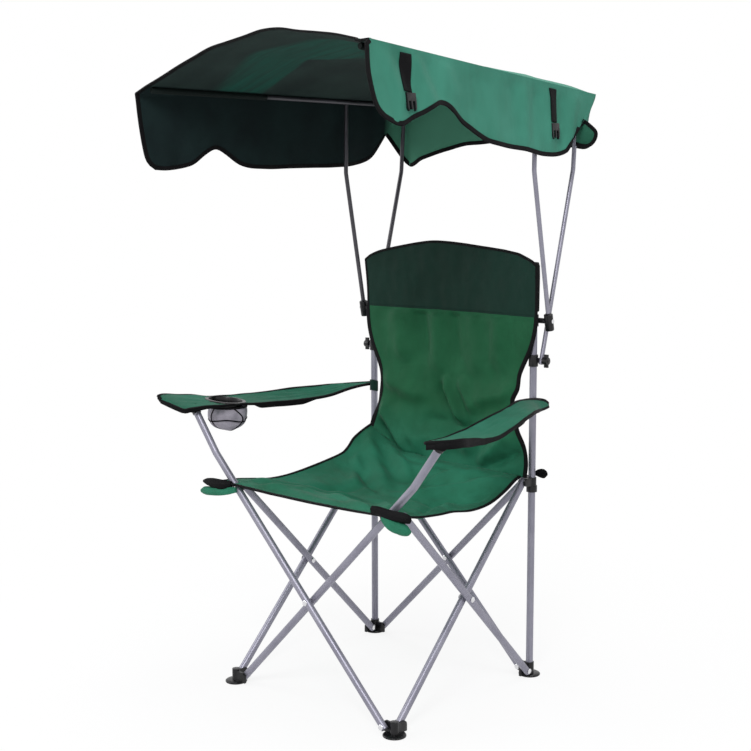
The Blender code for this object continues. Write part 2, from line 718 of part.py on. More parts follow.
def seat_point(across, along):
    """A seat point at across from -1 (left) to 1 (right) and along from 0 (front) to 1 (rear)."""
    half = SEAT_HALF_FRONT + (SEAT_HALF_REAR - SEAT_HALF_FRONT) * along
    front = SEAT_FRONT_Y + SEAT_FRONT_BOW * (1 - across * across)
    start, end = SEAT_SAG_SHARES
    edge = math.sin(math.pi * min(max((along - start) / (end - start), 0), 1))
    inner = 1 - across * across
    z = SEAT_CORNER_Z - SEAT_EDGE_SAG * edge * (1 - inner) - SEAT_MID_SAG * inner * edge**SEAT_SAG_FULLNESS
    z -= SEAT_FRONT_SAG * (inner * (1 - along)) ** SEAT_FRONT_POWER
    z += SEAT_REAR_LIFT * along**SEAT_REAR_POWER
    return (half * across, front + (SEAT_REAR_Y - front) * along, z)


def build_seat(tubes, material):
    rows = []
    for i in range(SEAT_ROWS + 1):
        columns = [2 * k / SEAT_COLUMNS - 1 for k in range(SEAT_COLUMNS + 1)]
        rows.append([seat_point(c, i / SEAT_ROWS) for c in columns])
    seat = cloth("seat", rows, CLOTH_T, material)
    for start, end in tubes:
        cut(seat, cylinder(start, end, TUBE_R + SEAT_TUBE_CLEAR))
    return seat


def back_half(z):
    """Half the back's width at a height: wide at the head, drawn in at the waist."""
    if z > BACK_WAIST_Z:
        t = min((z - BACK_WAIST_Z) / (BAND_Z - BACK_WAIST_Z), 1)
        return BACK_HALF_WAIST + (BACK_HALF_TOP - BACK_HALF_WAIST) * math.sin(t * math.pi / 2)
    t = (BACK_WAIST_Z - z) / (BACK_WAIST_Z - BACK_BASE_Z)
    return BACK_HALF_WAIST + (BACK_HALF_BASE - BACK_HALF_WAIST) * t * t


def back_y(across, z):
    """The back hangs in front of the posts at its edges and bows rearward between them."""
    t = min((z - BACK_BASE_Z) / (BACK_WAIST_Z - BACK_BASE_Z), 1)
    edge = BACK_BASE_Y + (BACK_Y - BACK_BASE_Y) * math.sin(t * math.pi / 2)
    return edge + BACK_BOW * (1 - across * across) ** 2 * math.sin(t * math.pi / 2)


def back_rows(low, high, steps, arch):
    rows = []
    for i in range(steps + 1):
        row = []
        for k in range(BACK_COLUMNS + 1):
            across = 2 * k / BACK_COLUMNS - 1
            top = high + arch * (1 - across * across)
            z = low + (top - low) * i / steps
            row.append((back_half(z) * across, back_y(across, z), z))
        rows.append(row)
    return rows


def build_back(material):
    rows = back_rows(BACK_BASE_Z, BAND_Z - GAP, BACK_ROWS, 0)
    return cloth("back", rows, CLOTH_T, material)


def build_head_band(material):
    rows = back_rows(BAND_Z, BACK_TOP_Z, HEAD_BAND_ROWS, BACK_ARCH)
    band = cloth("head_band", rows, CLOTH_T, material)
    for sign in SIDES.values():
        top = Vector((sign * HALF, HALF, BACK_TOP_Z + OVERRUN))
        low = top - Vector((0, 0, POCKET_H))
        over = Vector((0, 0, OVERRUN))
        join(band, cylinder(low, top, BORE_R + POCKET_WALL))
        cut(band, cylinder(low - over, Vector((sign * HALF, HALF, POST_TOP_Z + POST_CAP_H + GAP)), BORE_R))
    return band


def side_place(sign, x, yz):
    return Vector((sign * x, yz[0], yz[1]))


def build_clamp(side, name, pivot, bolt_end_x, stand_off_x, material):
    """A clamp round the post, with a lug out to stand_off_x and a bolt on from there."""
    sign = SIDES[side]
    axis = Vector((sign * HALF, HALF, pivot[1]))
    half = Vector((0, 0, CLAMP_H / 2))
    over = Vector((0, 0, OVERRUN))
    clamp = make_object(f"{name}_{side}", cylinder(axis - half, axis + half, CLAMP_R), material)
    lug = [side_place(sign, x, pivot) for x in (HALF, stand_off_x)]
    join(clamp, cylinder(*lug, STAND_OFF_R))
    cut(clamp, cylinder(axis - half - over, axis + half + over, BORE_R))
    start = side_place(sign, stand_off_x - CLAMP_WALL / 2, pivot)
    end = side_place(sign, bolt_end_x, pivot)
    join(clamp, headed_pin(start, end, POLE_PIN_R, POLE_HEAD_R, POLE_HEAD_H))
    return clamp


def build_pole(name, side, x, points, holes, material):
    sign = SIDES[side]
    bottom, bend, top = [side_place(sign, x, p) for p in points]
    low_way, high_way = (bend - bottom).normalized(), (top - bend).normalized()
    ends = (bottom - low_way * POLE_OVERHANG, bend, top + high_way * POLE_TOP_REACH)
    path = rounded_path(ends, POLE_BEND_R)
    pole = make_object(f"{name}_{side}", hollow_tube(path, POLE_R, POLE_WALL, POLE_SIDES), material)
    through = Vector((POLE_R + OVERRUN, 0, 0))
    for point in holes:
        centre = side_place(sign, x, point)
        cut(pole, cylinder(centre - through, centre + through, POLE_HOLE_R, PIN_SIDES))
    return pole


def bar_pitch(side):
    return BAR_PITCH_RIGHT if side == "right" else 0


def bar_point(side, y):
    """The bar's centre line at y, turned about its rivet on the rear pole."""
    return (y, REAR_TOP_Z + (REAR_TOP_Y - y) * math.tan(bar_pitch(side)))


def canopy_front(side):
    return CANOPY_FRONT_RIGHT_Y if side == "right" else CANOPY_FRONT_LEFT_Y


def build_bar(side, material):
    sign = SIDES[side]
    ends = (BAR_REAR_Y, canopy_front(side) + BAR_FRONT_INSET)
    path = [side_place(sign, BAR_X, bar_point(side, y)) for y in ends]
    bar = make_object(f"canopy_bar_{side}", hollow_tube(path, POLE_R, POLE_WALL, POLE_SIDES), material)
    centre = side_place(sign, BAR_X, REAR_POLE_TOP)
    through = Vector((POLE_R + OVERRUN, 0, 0))
    cut(bar, cylinder(centre - through, centre + through, POLE_HOLE_R, PIN_SIDES))
    return bar


def build_bar_cap(side, end, material):
    sign = SIDES[side]
    y = canopy_front(side) + BAR_FRONT_INSET if end == "front" else BAR_REAR_Y
    start = side_place(sign, BAR_X, bar_point(side, y))
    beyond = side_place(sign, BAR_X, bar_point(side, y + ENDS[end] * BAR_CAP_H))
    plug_r = POLE_R - POLE_WALL - GAP
    profile = ((0, -BAR_CAP_PLUG), (plug_r, -BAR_CAP_PLUG), (plug_r, GAP), (POLE_R, GAP))
    profile += ((POLE_R, BAR_CAP_H / 2), (POLE_R * DOME_SHARES[0], BAR_CAP_H), (0, BAR_CAP_H))
    cap = turned(profile, frame_along(start, beyond), POLE_SIDES)
    return make_object(f"bar_cap_{end}_{side}", cap, material)


def build_knob(side, material):
    """A wing knob that turns on the lower clamp's bolt."""
    sign = SIDES[side]
    start, end = [side_place(sign, KNOB_X + t, LOWER_PIVOT) for t in (0, KNOB_T)]
    knob = make_object(f"canopy_knob_{side}", cylinder(start, end, KNOB_HUB_R), material)
    y, z = LOWER_PIVOT
    half_wing = KNOB_WING_T / 2
    wing = [(y - half_wing, z - KNOB_R), (y + half_wing, z - KNOB_R)]
    wing += [(y + half_wing, z + KNOB_R), (y - half_wing, z + KNOB_R)]
    low, high = sorted((sign * (KNOB_X + KNOB_T / 4), sign * (KNOB_X + KNOB_T - GAP)))
    join(knob, slab(wing, 0, low, high))
    over = Vector((OVERRUN, 0, 0))
    cut(knob, cylinder(start - sign * over, end + sign * over, POLE_HOLE_R, PIN_SIDES))
    return knob


def crease(side, s):
    """The fold line over a side bar, from the front (0) to the rear (1)."""
    sign = SIDES[side]
    y = canopy_front(side) + (CANOPY_REAR_Y - canopy_front(side)) * s
    x = CREASE_X + CREASE_FLARE * (1 - s)
    z = bar_point(side, y)[1] + CREASE_LIFT
    if side == "right":
        z += CREASE_FRONT_LIFT_RIGHT * (1 - s)
    return Vector((sign * x, y, z))


def crown_point(across, s):
    """A point of the roof at across from 0 (left) to 1 (right), s from 0 (front) to 1 (rear).

    The first and last columns are the creases, and the next ones lie on the side bars.
    """
    ends = [crease(side, s) for side in SIDES]
    column = across * CANOPY_COLUMNS
    if column < 1 or column > CANOPY_COLUMNS - 1:
        return ends[0] if column < 1 else ends[1]
    over_bars = []
    for side, end in zip(SIDES, ends):
        height = bar_point(side, end.y)[1] + ROOF_LIFT
        over_bars.append(Vector((SIDES[side] * BAR_X, end.y, height)))
    share = (column - 1) / (CANOPY_COLUMNS - 2)
    point = over_bars[0].lerp(over_bars[1], share)
    point.z += CANOPY_ARCH * even_share(CANOPY_ARCH_SHARES, share)
    return point


def skirt_point(edge, s, drop_share):
    """A point of the hanging edge: edge is left, right or rear, drop_share is 0 at the roof, 1 at the hem."""
    fall = drop_share**FALL_POWER
    if edge == "rear":
        inner = min(1, s * CANOPY_COLUMNS, (1 - s) * CANOPY_COLUMNS)
        back = VALANCE_SPLAY * inner - CORNER_TUCK * (1 - inner)
        side = SIDES["left"] if s < 0.5 else SIDES["right"]
        out = Vector((side * FLAP_SPLAY * (1 - inner), back, 0))
        drop = REAR_DROP * even_share(REAR_DROP_SHARES, s)
        return crown_point(s, 1) + out * fall - Vector((0, 0, drop * drop_share))
    shares = LEFT_DROP_SHARES if edge == "left" else RIGHT_DROP_SHARES
    drop = (LEFT_DROP if edge == "left" else RIGHT_DROP) * even_share(shares, s)
    along = FLAP_FRONT_CUT * max(0, 1 - s / FLAP_CORNER_SHARE)
    along -= CORNER_TUCK * max(0, 1 - (1 - s) / FLAP_CORNER_SHARE)
    out = Vector((SIDES[edge] * FLAP_SPLAY, along, 0))
    return crease(edge, s) + out * fall - Vector((0, 0, drop * drop_share))


def build_canopy(material):
    """The roof between the creases, and the skirt down its left, rear and right edges, in one sheet."""
    bm = bmesh.new()
    roof = []
    for j in range(CANOPY_ROWS + 1):
        s = j / CANOPY_ROWS
        roof.append([bm.verts.new(crown_point(i / CANOPY_COLUMNS, s)) for i in range(CANOPY_COLUMNS + 1)])
    for lower, upper in zip(roof, roof[1:]):
        for i in range(CANOPY_COLUMNS):
            bm.faces.new((lower[i], lower[i + 1], upper[i + 1], upper[i]))
    edge = [("left", j / CANOPY_ROWS, roof[j][0]) for j in range(CANOPY_ROWS)]
    edge += [("rear", i / CANOPY_COLUMNS, roof[-1][i]) for i in range(CANOPY_COLUMNS + 1)]
    edge += [("right", j / CANOPY_ROWS, roof[j][-1]) for j in reversed(range(CANOPY_ROWS))]
    above = [vert for _, _, vert in edge]
    for r in range(1, FLAP_ROWS + 1):
        below = [bm.verts.new(skirt_point(name, s, r / FLAP_ROWS)) for name, s, _ in edge]
        for k in range(len(edge) - 1):
            bm.faces.new((above[k], above[k + 1], below[k + 1], below[k]))
        above = below
    bmesh.ops.recalc_face_normals(bm, faces=bm.faces)
    mesh = bpy.data.meshes.new("canopy")
    bm.to_mesh(mesh)
    bm.free()
    canopy = make_object("canopy", mesh, material)
    solid = canopy.modifiers.new("Thickness", "SOLIDIFY")
    solid.thickness = CLOTH_T
    solid.offset = 0
    solid.use_even_offset = True
    return canopy


def strap_place(side, y, drop, out):
    """A place on a flap's outer face, this far below the crease and out from the cloth's middle."""
    s = (y - canopy_front(side)) / (CANOPY_REAR_Y - canopy_front(side))
    shares = LEFT_DROP_SHARES if side == "left" else RIGHT_DROP_SHARES
    whole = (LEFT_DROP if side == "left" else RIGHT_DROP) * even_share(shares, s)
    point = skirt_point(side, s, drop / whole)
    return point + Vector((SIDES[side] * out, 0, 0))


def build_strap(side, number, material):
    y = STRAP_YS[number - 1]
    out = CLOTH_T / 2 + GAP * 2 + STRAP_T / 2
    rows = []
    for i in range(STRAP_ROWS + 1):
        drop = STRAP_TOP_DROP + (STRAP_BOTTOM_DROP - STRAP_TOP_DROP) * i / STRAP_ROWS
        rows.append([strap_place(side, y + STRAP_W * c, drop, out) for c in STRAP_COLUMN_SHARES])
    return cloth(f"canopy_strap_{number}_{side}", rows, STRAP_T, material)


def build_buckle(side, number, material):
    """Half a side-release buckle at the strap's lower end: a frame and three prongs."""
    y = STRAP_YS[number - 1]
    out = CLOTH_T / 2 + GAP * 3 + BUCKLE_T / 2
    top = strap_place(side, y, STRAP_BOTTOM_DROP + BUCKLE_GAP, out)
    low = strap_place(side, y, STRAP_BOTTOM_DROP + BUCKLE_H, out)
    half = BUCKLE_W / 2
    bar = BUCKLE_H * BUCKLE_BAR_SHARE
    prong = BUCKLE_W * BUCKLE_PRONG_SHARE
    shoulder = BUCKLE_H * BUCKLE_SHOULDER_SHARE
    tongue = BUCKLE_H * BUCKLE_TONGUE_SHARE
    outline = [(-half, 0), (half, 0), (half, bar), (half, shoulder), (half - prong, BUCKLE_H)]
    outline += [(half - prong, bar), (prong / 2, bar), (prong / 2, tongue), (-prong / 2, tongue)]
    outline += [(-prong / 2, bar), (-half + prong, bar), (-half + prong, BUCKLE_H), (-half, shoulder)]
    bm = slab(outline, 0, -BUCKLE_T / 2, BUCKLE_T / 2)
    down = (low - top).normalized()
    along = Vector((0, 1, 0))
    face = along.cross(down).normalized()
    bm.transform(Matrix.Translation(top) @ Matrix((face, along, down)).transposed().to_4x4())
    return make_object(f"strap_buckle_{number}_{side}", bm, material, smooth=False)


def build_frame(tube, plastic, steel):
    for side in SIDES:
        for end in ENDS:
            build_foot(side, end, plastic)
            build_hub(side, end, plastic)
        build_post(side, tube)
        build_post_cap(side, plastic)
    arm_tubes = []
    for end, y_sign in ENDS.items():
        for side, foot_sign in SIDES.items():
            offset = PLANE if outer_across(side, end) else -PLANE
            plane = y_sign * (HALF + offset)
            build_leg(f"{end}_leg_from_{side}", True, foot_sign, plane, end == "front", tube)
            if end == "front":
                arm_side = "left" if side == "right" else "right"
                build_arm_cap(arm_side, plane, plastic)
                foot_pin, hub_pin = leg_points(True, foot_sign, plane)
                arm_tubes.append((hub_pin, arm_points(hub_pin, (hub_pin - foot_pin).normalized())[0]))
        build_crossing(f"{end}_crossing_rivet", True, y_sign, steel)
    for side, x_sign in SIDES.items():
        for end, foot_sign in ENDS.items():
            offset = -PLANE if outer_across(side, end) else PLANE
            build_leg(f"{side}_leg_from_{end}", False, foot_sign, x_sign * (HALF + offset), False, tube)
        build_crossing(f"{side}_crossing_rivet", False, x_sign, steel)
    return arm_tubes


def build_canopy_frame(tube, plastic):
    for side in SIDES:
        front_top = bar_point(side, FRONT_POLE_TOP[0])
        outside = FRONT_POLE_X + POLE_R + GAP
        stand_off = FRONT_POLE_X - POLE_R - GAP
        build_clamp(side, "upper_clamp", UPPER_PIVOT, outside, stand_off, plastic)
        build_clamp(side, "lower_clamp", LOWER_PIVOT, KNOB_X + KNOB_T + GAP, HALF + CLAMP_R, plastic)
        build_knob(side, plastic)
        points = (UPPER_PIVOT, FRONT_POLE_BEND, front_top)
        build_pole("front_pole", side, FRONT_POLE_X, points, (UPPER_PIVOT,), tube)
        points = (LOWER_PIVOT, REAR_POLE_BEND, REAR_POLE_TOP)
        rear = build_pole("rear_pole", side, REAR_POLE_X, points, (LOWER_PIVOT,), tube)
        start, end = [side_place(SIDES[side], x, REAR_POLE_TOP) for x in (REAR_POLE_X, BAR_X + POLE_R + GAP)]
        join(rear, headed_pin(start, end, POLE_PIN_R, POLE_HEAD_R, POLE_HEAD_H))
        build_bar(side, tube)
        for bar_end in ENDS:
            build_bar_cap(side, bar_end, plastic)


def build_chair():
    clear_scene()
    tube = make_material("Grey coated steel tube", (0.17, 0.165, 0.20), 0.35, 0.8)
    plastic = make_material("Black gloss plastic", (0.012, 0.012, 0.014), 0.25)
    steel = make_material("Bright rivet steel", (0.6, 0.6, 0.62), 0.3, 1.0)
    green = make_material("Green polyester", (0.012, 0.115, 0.055), 0.8)
    dark = make_material("Dark green polyester", (0.01, 0.035, 0.028), 0.85)
    webbing = make_material("Black webbing", (0.01, 0.01, 0.01), 0.9)
    mesh = make_material("Grey net", (0.35, 0.37, 0.38), 0.9)
    arm_tubes = build_frame(tube, plastic, steel)
    build_canopy_frame(tube, plastic)
    build_seat(arm_tubes, green)
    build_back(green)
    build_head_band(dark)
    for side in SIDES:
        build_armrest(side, green)
        for number in (1, 2):
            build_strap(side, number, webbing)
            build_buckle(side, number, plastic)
    build_cup_ring(plastic)
    build_cup_net(mesh)
    build_canopy(green)


build_chair()
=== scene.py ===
"""Looks of the canopy folding chair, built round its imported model.

Metres, +Z up. The origin is on the floor between the four feet, and the chair faces -Y.
"""

import math
from itertools import accumulate, product

import bmesh
import bpy
from mathutils import Matrix, Vector, bvhtree, interpolate, noise


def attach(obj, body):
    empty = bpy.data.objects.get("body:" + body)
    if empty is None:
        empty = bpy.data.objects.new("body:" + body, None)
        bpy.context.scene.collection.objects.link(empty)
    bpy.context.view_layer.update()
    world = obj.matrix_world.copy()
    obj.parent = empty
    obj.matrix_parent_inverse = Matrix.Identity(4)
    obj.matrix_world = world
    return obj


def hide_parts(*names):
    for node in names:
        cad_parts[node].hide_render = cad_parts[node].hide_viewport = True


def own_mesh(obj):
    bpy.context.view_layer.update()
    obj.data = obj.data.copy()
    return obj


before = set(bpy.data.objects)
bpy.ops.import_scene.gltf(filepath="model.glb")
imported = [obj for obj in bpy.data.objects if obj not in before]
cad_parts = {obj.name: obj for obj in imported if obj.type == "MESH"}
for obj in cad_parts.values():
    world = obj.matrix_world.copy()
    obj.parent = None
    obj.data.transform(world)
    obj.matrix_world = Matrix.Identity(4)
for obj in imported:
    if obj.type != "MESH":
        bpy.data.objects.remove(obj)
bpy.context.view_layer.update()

# Camera, fitted to the photograph
CAMERA_PLACE = (1.964, -2.235, 1.107)
CAMERA_AZIMUTH = math.radians(41.63)
CAMERA_PITCH = math.radians(7.94)
CAMERA_ROLL = math.radians(-0.164)
CAMERA_LENS = 65.45

# Frame of the chair, as in the model
GAP = 0.0003
TUBE_R = 0.008
TUBE_WALL = 0.001
HALF = 0.2355
PIN_INSET = 0.023
FOOT_PIN_Z = 0.0165
HUB_PIN_Z = 0.4505
LEG_OVERHANG = 0.0065
POST_TOP_Z = 0.93
POST_FOOT_FLOOR = 0.003
PLANE = TUBE_R + GAP
LEG_REACH = PLANE + TUBE_R + GAP
PIN_R = 0.003
HEAD_R = 0.0062
HEAD_H = 0.0024
POLE_HEAD_R = 0.0047
POLE_HEAD_H = 0.002
ARM_BEND_RISE = 0.068
ARM_BEND_R = 0.04
ARM_TILT = math.radians(36.5)
ARM_LENGTH = 0.1175
POLE_R = 0.005
POLE_WALL = 0.0008
POLE_OVERHANG = 0.008
POLE_TOP_REACH = 0.0035
POLE_BEND_R = 0.05
POLE_END_R = 0.01
POLE_END_REACH = (-0.021, 0.018)
UPPER_PIVOT = (0.240, 0.811)
LOWER_PIVOT = (0.243, 0.722)
FRONT_POLE_BEND = (0.177, 1.136)
FRONT_POLE_TOP_Y = 0.18
REAR_POLE_BEND = (0.356, 1.140)
REAR_POLE_TOP = (0.367, 1.300)
REAR_POLE_X = 0.2515
BAR_X = 0.2618
FRONT_POLE_X = 0.2721
BAR_REAR_Y = 0.377
BAR_FRONT_INSET = 0.024
BAR_PITCHES = {"left": 0, "right": math.radians(4.5)}
TUBE_SIDES = 32
POLE_SIDES = 24
BEND_STEPS = 12
RIM_SHARE = 0.4

# Cloth of the chair
CLOTH_T = 0.0024
BINDING_W = 0.0055
BINDING_T = 0.004
SLING_SLOT = "green_polyester"
DARK_SLOT = "dark_polyester"
WEBBING_SLOT = "black_webbing"

# Canopy
CREASE_X = 0.2856
CREASE_FLARE = 0.01
CREASE_LIFT = 0.005
ROOF_LIFT = 0.0069
CREASE_FRONT_LIFT_RIGHT = 0.003
CREASE_FRONT_DROOP_LEFT = 0.011
CANOPY_FRONT_YS = {"left": -0.430, "right": -0.374}
CANOPY_REAR_Y = 0.387
CANOPY_ARCH = 0.057
CANOPY_ARCH_SHARES = (0, 0.21, 0.44, 0.635, 0.82, 0.88, 0.935, 1, 0.925, 0.715, 0.535, 0.34, 0.08)
CANOPY_COLUMNS = 14
CANOPY_KEEP = 0.321
FLAP_SPLAY = 0.01
# How far a flap's front edge is cut back, by share of its drop
FLAP_FRONT_CUTS = {
    "left": ((0, 0), (0.4, 0.010), (0.8, 0.026), (0.93, 0.038), (1, 0.056)),
    "right": (
        (0, -0.008), (0.37, -0.007), (0.6, 0), (0.77, 0.008), (0.88, 0.019), (0.95, 0.033), (1, 0.052),
    ),
}
VALANCE_SPLAY = 0.012
CORNER_TUCKS = {"left": 0.040, "right": 0.062}
FALL_SHARE = 1.4
SIDE_DROP = 0.15
DROP_SHARES = {
    "left": (1.02, 1.045, 1, 0.77, 1.01, 1.06, 1.05, 1.04, 1.03, 0.99, 0.86, 0.5),
    "right": (0.967, 0.96, 0.79, 0.6, 0.82, 0.97, 1, 1, 1.02, 0.95, 0.67, 0.42),
    "rear": (0.5, 1.01, 0.99, 0.99, 1, 1.01, 1.02, 1.02, 1.01, 0.98, 0.95, 0.93, 0.89, 0.8, 0.42),
}
TAPE_W = 0.0078
TAPE_T = 0.004

SIDES = {"left": -1, "right": 1}
ENDS = {"front": -1, "rear": 1}
UP = Vector((0, 0, 1))


# Meshes

def from_bmesh(name, bm, *materials, smooth_angle=40):
    mesh = bpy.data.meshes.new(name)
    bm.to_mesh(mesh)
    bm.free()
    obj = bpy.data.objects.new(name, mesh)
    bpy.context.scene.collection.objects.link(obj)
    for material in materials:
        mesh.materials.append(material)
    mesh.shade_smooth()
    mesh.set_sharp_from_angle(angle=math.radians(smooth_angle))
    return obj


def baked(obj):
    """The object with its modifiers applied to its mesh."""
    bpy.context.view_layer.update()
    graph = bpy.context.evaluated_depsgraph_get()
    mesh = bpy.data.meshes.new_from_object(obj.evaluated_get(graph))
    obj.modifiers.clear()
    old = obj.data
    obj.data = mesh
    bpy.data.meshes.remove(old)
    mesh.name = obj.name
    return obj


def joined(name, *parts):
    """One object from several, with all their materials."""
    with bpy.context.temp_override(active_object=parts[0], selected_editable_objects=list(parts)):
        bpy.ops.object.join()
    parts[0].name = name
    parts[0].data.name = name
    return parts[0]


def cut_by(obj, bm):
    """Take the form in bm out of an object."""
    cutter = from_bmesh("cutter", bm)
    cut = obj.modifiers.new("Cut", "BOOLEAN")
    cut.operation = "DIFFERENCE"
    cut.solver = "EXACT"
    cut.object = cutter
    baked(obj)
    bpy.data.objects.remove(cutter)
    obj.data.shade_smooth()


def thickened(obj, thickness, lining=0):
    solid = obj.modifiers.new("Thickness", "SOLIDIFY")
    solid.thickness = thickness
    solid.offset = 0
    solid.use_even_offset = True
    solid.material_offset = lining
    solid.material_offset_rim = lining
    return baked(obj)


def frame_along(start, direction):
    return Matrix.Translation(start) @ Vector(direction).to_track_quat("Z", "Y").to_matrix().to_4x4()


def circle(sides):
    return [(math.cos(2 * math.pi * k / sides), math.sin(2 * math.pi * k / sides)) for k in range(sides)]


def turned(profile, matrix, sides=TUBE_SIDES):
    """A turned skin from (radius, height) points, closed where the radius is 0."""
    bm = bmesh.new()
    rings = []
    for radius, height in profile:
        spots = circle(sides) if radius else ((0, 0),)
        rings.append([bm.verts.new((radius * c, radius * s, height)) for c, s in spots])
    for lower, upper in zip(rings, rings[1:]):
        for i in range(sides):
            j = (i + 1) % sides
            corners = [ring[k % len(ring)] for ring, k in ((lower, i), (lower, j), (upper, j), (upper, i))]
            unique = list(dict.fromkeys(corners))
            if len(unique) > 2:
                bm.faces.new(unique)
    bmesh.ops.recalc_face_normals(bm, faces=bm.faces)
    bm.transform(matrix)
    return bm


def rounded_path(points, radius):
    path = [points[0]]
    for before, corner, after in zip(points, points[1:], points[2:]):
        into, out = (corner - before).normalized(), (after - corner).normalized()
        turn = into.angle(out)
        reach = radius * math.tan(turn / 2)
        centre = corner + (out - into).normalized() * (radius / math.cos(turn / 2))
        first = corner - into * reach - centre
        axis = into.cross(out)
        steps = range(BEND_STEPS + 1)
        path += [centre + Matrix.Rotation(turn * i / BEND_STEPS, 3, axis) @ first for i in steps]
    path.append(points[-1])
    return path


def directions(path, closed=False):
    before = (path[-1:] if closed else path[:1]) + path[:-1]
    after = path[1:] + (path[:1] if closed else path[-1:])
    return [(b - a).normalized() for a, b in zip(before, after)]


def reaches(points):
    """How far along the points each of them is."""
    return [0, *accumulate((b - a).length for a, b in zip(points, points[1:]))]


def skin(rings, along, step, closed=False, capped=False):
    """A skin over closed rings of points, its UV a step round and the given reach along."""
    bm = bmesh.new()
    uv = bm.loops.layers.uv.new("UVMap")
    levels = [([bm.verts.new(p) for p in ring], reach) for ring, reach in zip(rings, along)]
    count = len(rings[0])
    for (lower, low), (upper, high) in zip(levels, levels[1:] + (levels[:1] if closed else [])):
        for k in range(count):
            m = (k + 1) % count
            face = bm.faces.new((lower[k], lower[m], upper[m], upper[k]))
            for loop, (turn, reach) in zip(face.loops, ((k, low), (k + 1, low), (k + 1, high), (k, high))):
                loop[uv].uv = (turn * step, reach)
    if capped:
        bm.faces.new(levels[0][0])
        bm.faces.new(list(reversed(levels[-1][0])))
    bmesh.ops.recalc_face_normals(bm, faces=bm.faces)
    return bm


def tube(name, path, radius, wall, material, sides=TUBE_SIDES):
    """A pipe along a path, open at both ends, with rolled rims."""
    ways = directions(path)
    normal = ways[0].orthogonal().normalized()
    frames = []
    for point, way, reach in zip(path, ways, reaches(path)):
        normal = (normal - way * normal.dot(way)).normalized()
        frames.append((point, normal.copy(), way.cross(normal), reach))
    first, last = frames[0], frames[-1]
    middle, rim = radius - wall / 2, wall * RIM_SHARE
    rings = [(radius, *place) for place in frames]
    rings.append((middle, last[0] + ways[-1] * rim, *last[1:]))
    rings += [(radius - wall, *place) for place in reversed(frames)]
    rings.append((middle, first[0] - ways[0] * rim, *first[1:]))
    spots = circle(sides)
    points = [[point + r * (c * side + s * up) for c, s in spots] for r, point, side, up, _ in rings]
    bm = skin(points, [ring[-1] for ring in rings], 2 * math.pi * radius / sides, closed=True)
    return from_bmesh(name, bm, material)


def sheet_mesh(name, rows, *materials):
    """An open sheet over a grid of points, with its UV in metres along and across it."""
    bm = bmesh.new()
    uv = bm.loops.layers.uv.new("UVMap")
    verts = [[bm.verts.new(p) for p in row] for row in rows]
    middle = len(rows[0]) // 2
    along = reaches([row[middle] for row in rows])
    across = [reaches(row) for row in rows]
    for i in range(len(rows) - 1):
        for k in range(len(rows[0]) - 1):
            corners = ((i, k), (i, k + 1), (i + 1, k + 1), (i + 1, k))
            face = bm.faces.new([verts[r][c] for r, c in corners])
            for loop, (r, c) in zip(face.loops, corners):
                loop[uv].uv = (across[r][c] - across[r][middle], along[r])
    return from_bmesh(name, bm, *materials, smooth_angle=80)


def declare(rows, hole=0):
    """Add up a sheet's flat size on the grid that it is made of; the sum is not kept."""
    area = -hole
    for lower, upper in zip(rows, rows[1:]):
        for a, b, c, d in zip(lower, lower[1:], upper, upper[1:]):
            area += ((b - a).cross(c - a).length + (d - b).cross(d - c).length) / 2


def squash(keep, axis, anchor, *pieces):
    for piece in pieces:
        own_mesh(piece)


# A binding's section: share of the lip or width from the cloth's edge, and share of the thickness
TAPE_LIP = ((0, -0.5), (-1, -0.42), (-1.35, 0), (-1, 0.42), (0, 0.5))
TAPE_BODY = ((0.5, 0.52), (1, 0.46), (1, -0.46), (0.5, -0.52))


def tape(name, edge, inner, width, thickness, material, closed=False, lip=0.0012):
    """Binding folded over a cloth's edge: edge points, and points further in on the same cloth."""
    section = [(share * lip, rise) for share, rise in TAPE_LIP]
    section += [(share * width, rise) for share, rise in TAPE_BODY]
    rings = []
    for point, inside, way in zip(edge, inner, directions(edge, closed)):
        into = inside - point
        into = (into - way * into.dot(way)).normalized()
        up = way.cross(into).normalized()
        rings.append([point + into * depth + up * rise * thickness for depth, rise in section])
    bm = skin(rings, reaches(edge), width / 3, closed=closed, capped=not closed)
    return from_bmesh(name, bm, material, smooth_angle=60)


def curve_value(table, x):
    """A smooth value at x through a table of (x, value) points."""
    if x <= table[0][0]:
        return table[0][1]
    if x >= table[-1][0]:
        return table[-1][1]
    i = max(k for k in range(len(table) - 1) if table[k][0] <= x)
    (x0, y0), (x1, y1) = table[i:i + 2]
    before = table[max(i - 1, 0)]
    after = table[min(i + 2, len(table) - 1)]
    h = x1 - x0
    t = (x - x0) / h
    m0 = h * (y1 - before[1]) / (x1 - before[0])
    m1 = h * (after[1] - y0) / (after[0] - x0)
    rise = t * t * (3 - 2 * t)
    return (1 - rise) * y0 + rise * y1 + (t**3 - 2 * t**2 + t) * m0 + (t**3 - t**2) * m1


def even_value(shares, s):
    return curve_value([(i / (len(shares) - 1), share) for i, share in enumerate(shares)], s)


def ease(x, low, high):
    t = min(max((x - low) / (high - low), 0), 1)
    return t * t * (3 - 2 * t)


FOLD_WIDTH = 1.35
FOLD_HEIGHT = 2.2


def fold_line(a, b, start, end, width, height):
    """Height at (a, b) of a soft ridge that runs from start to end and fades at both ends."""
    ax, ay = start
    dx, dy = end[0] - ax, end[1] - ay
    run = dx * dx + dy * dy
    t = ((a - ax) * dx + (b - ay) * dy) / run
    fade = ease(t, -0.15, 0.2) * (1 - ease(t, 0.75, 1.15))
    off = ((a - ax) * dy - (b - ay) * dx) / math.sqrt(run)
    return height * FOLD_HEIGHT * fade * math.exp(-((off / (width * FOLD_WIDTH)) ** 2))


def ripple(place, scale, height, seed=0):
    return height * noise.noise(Vector(place) * scale + Vector((seed, seed * 1.7, seed * 0.3)))


# Materials

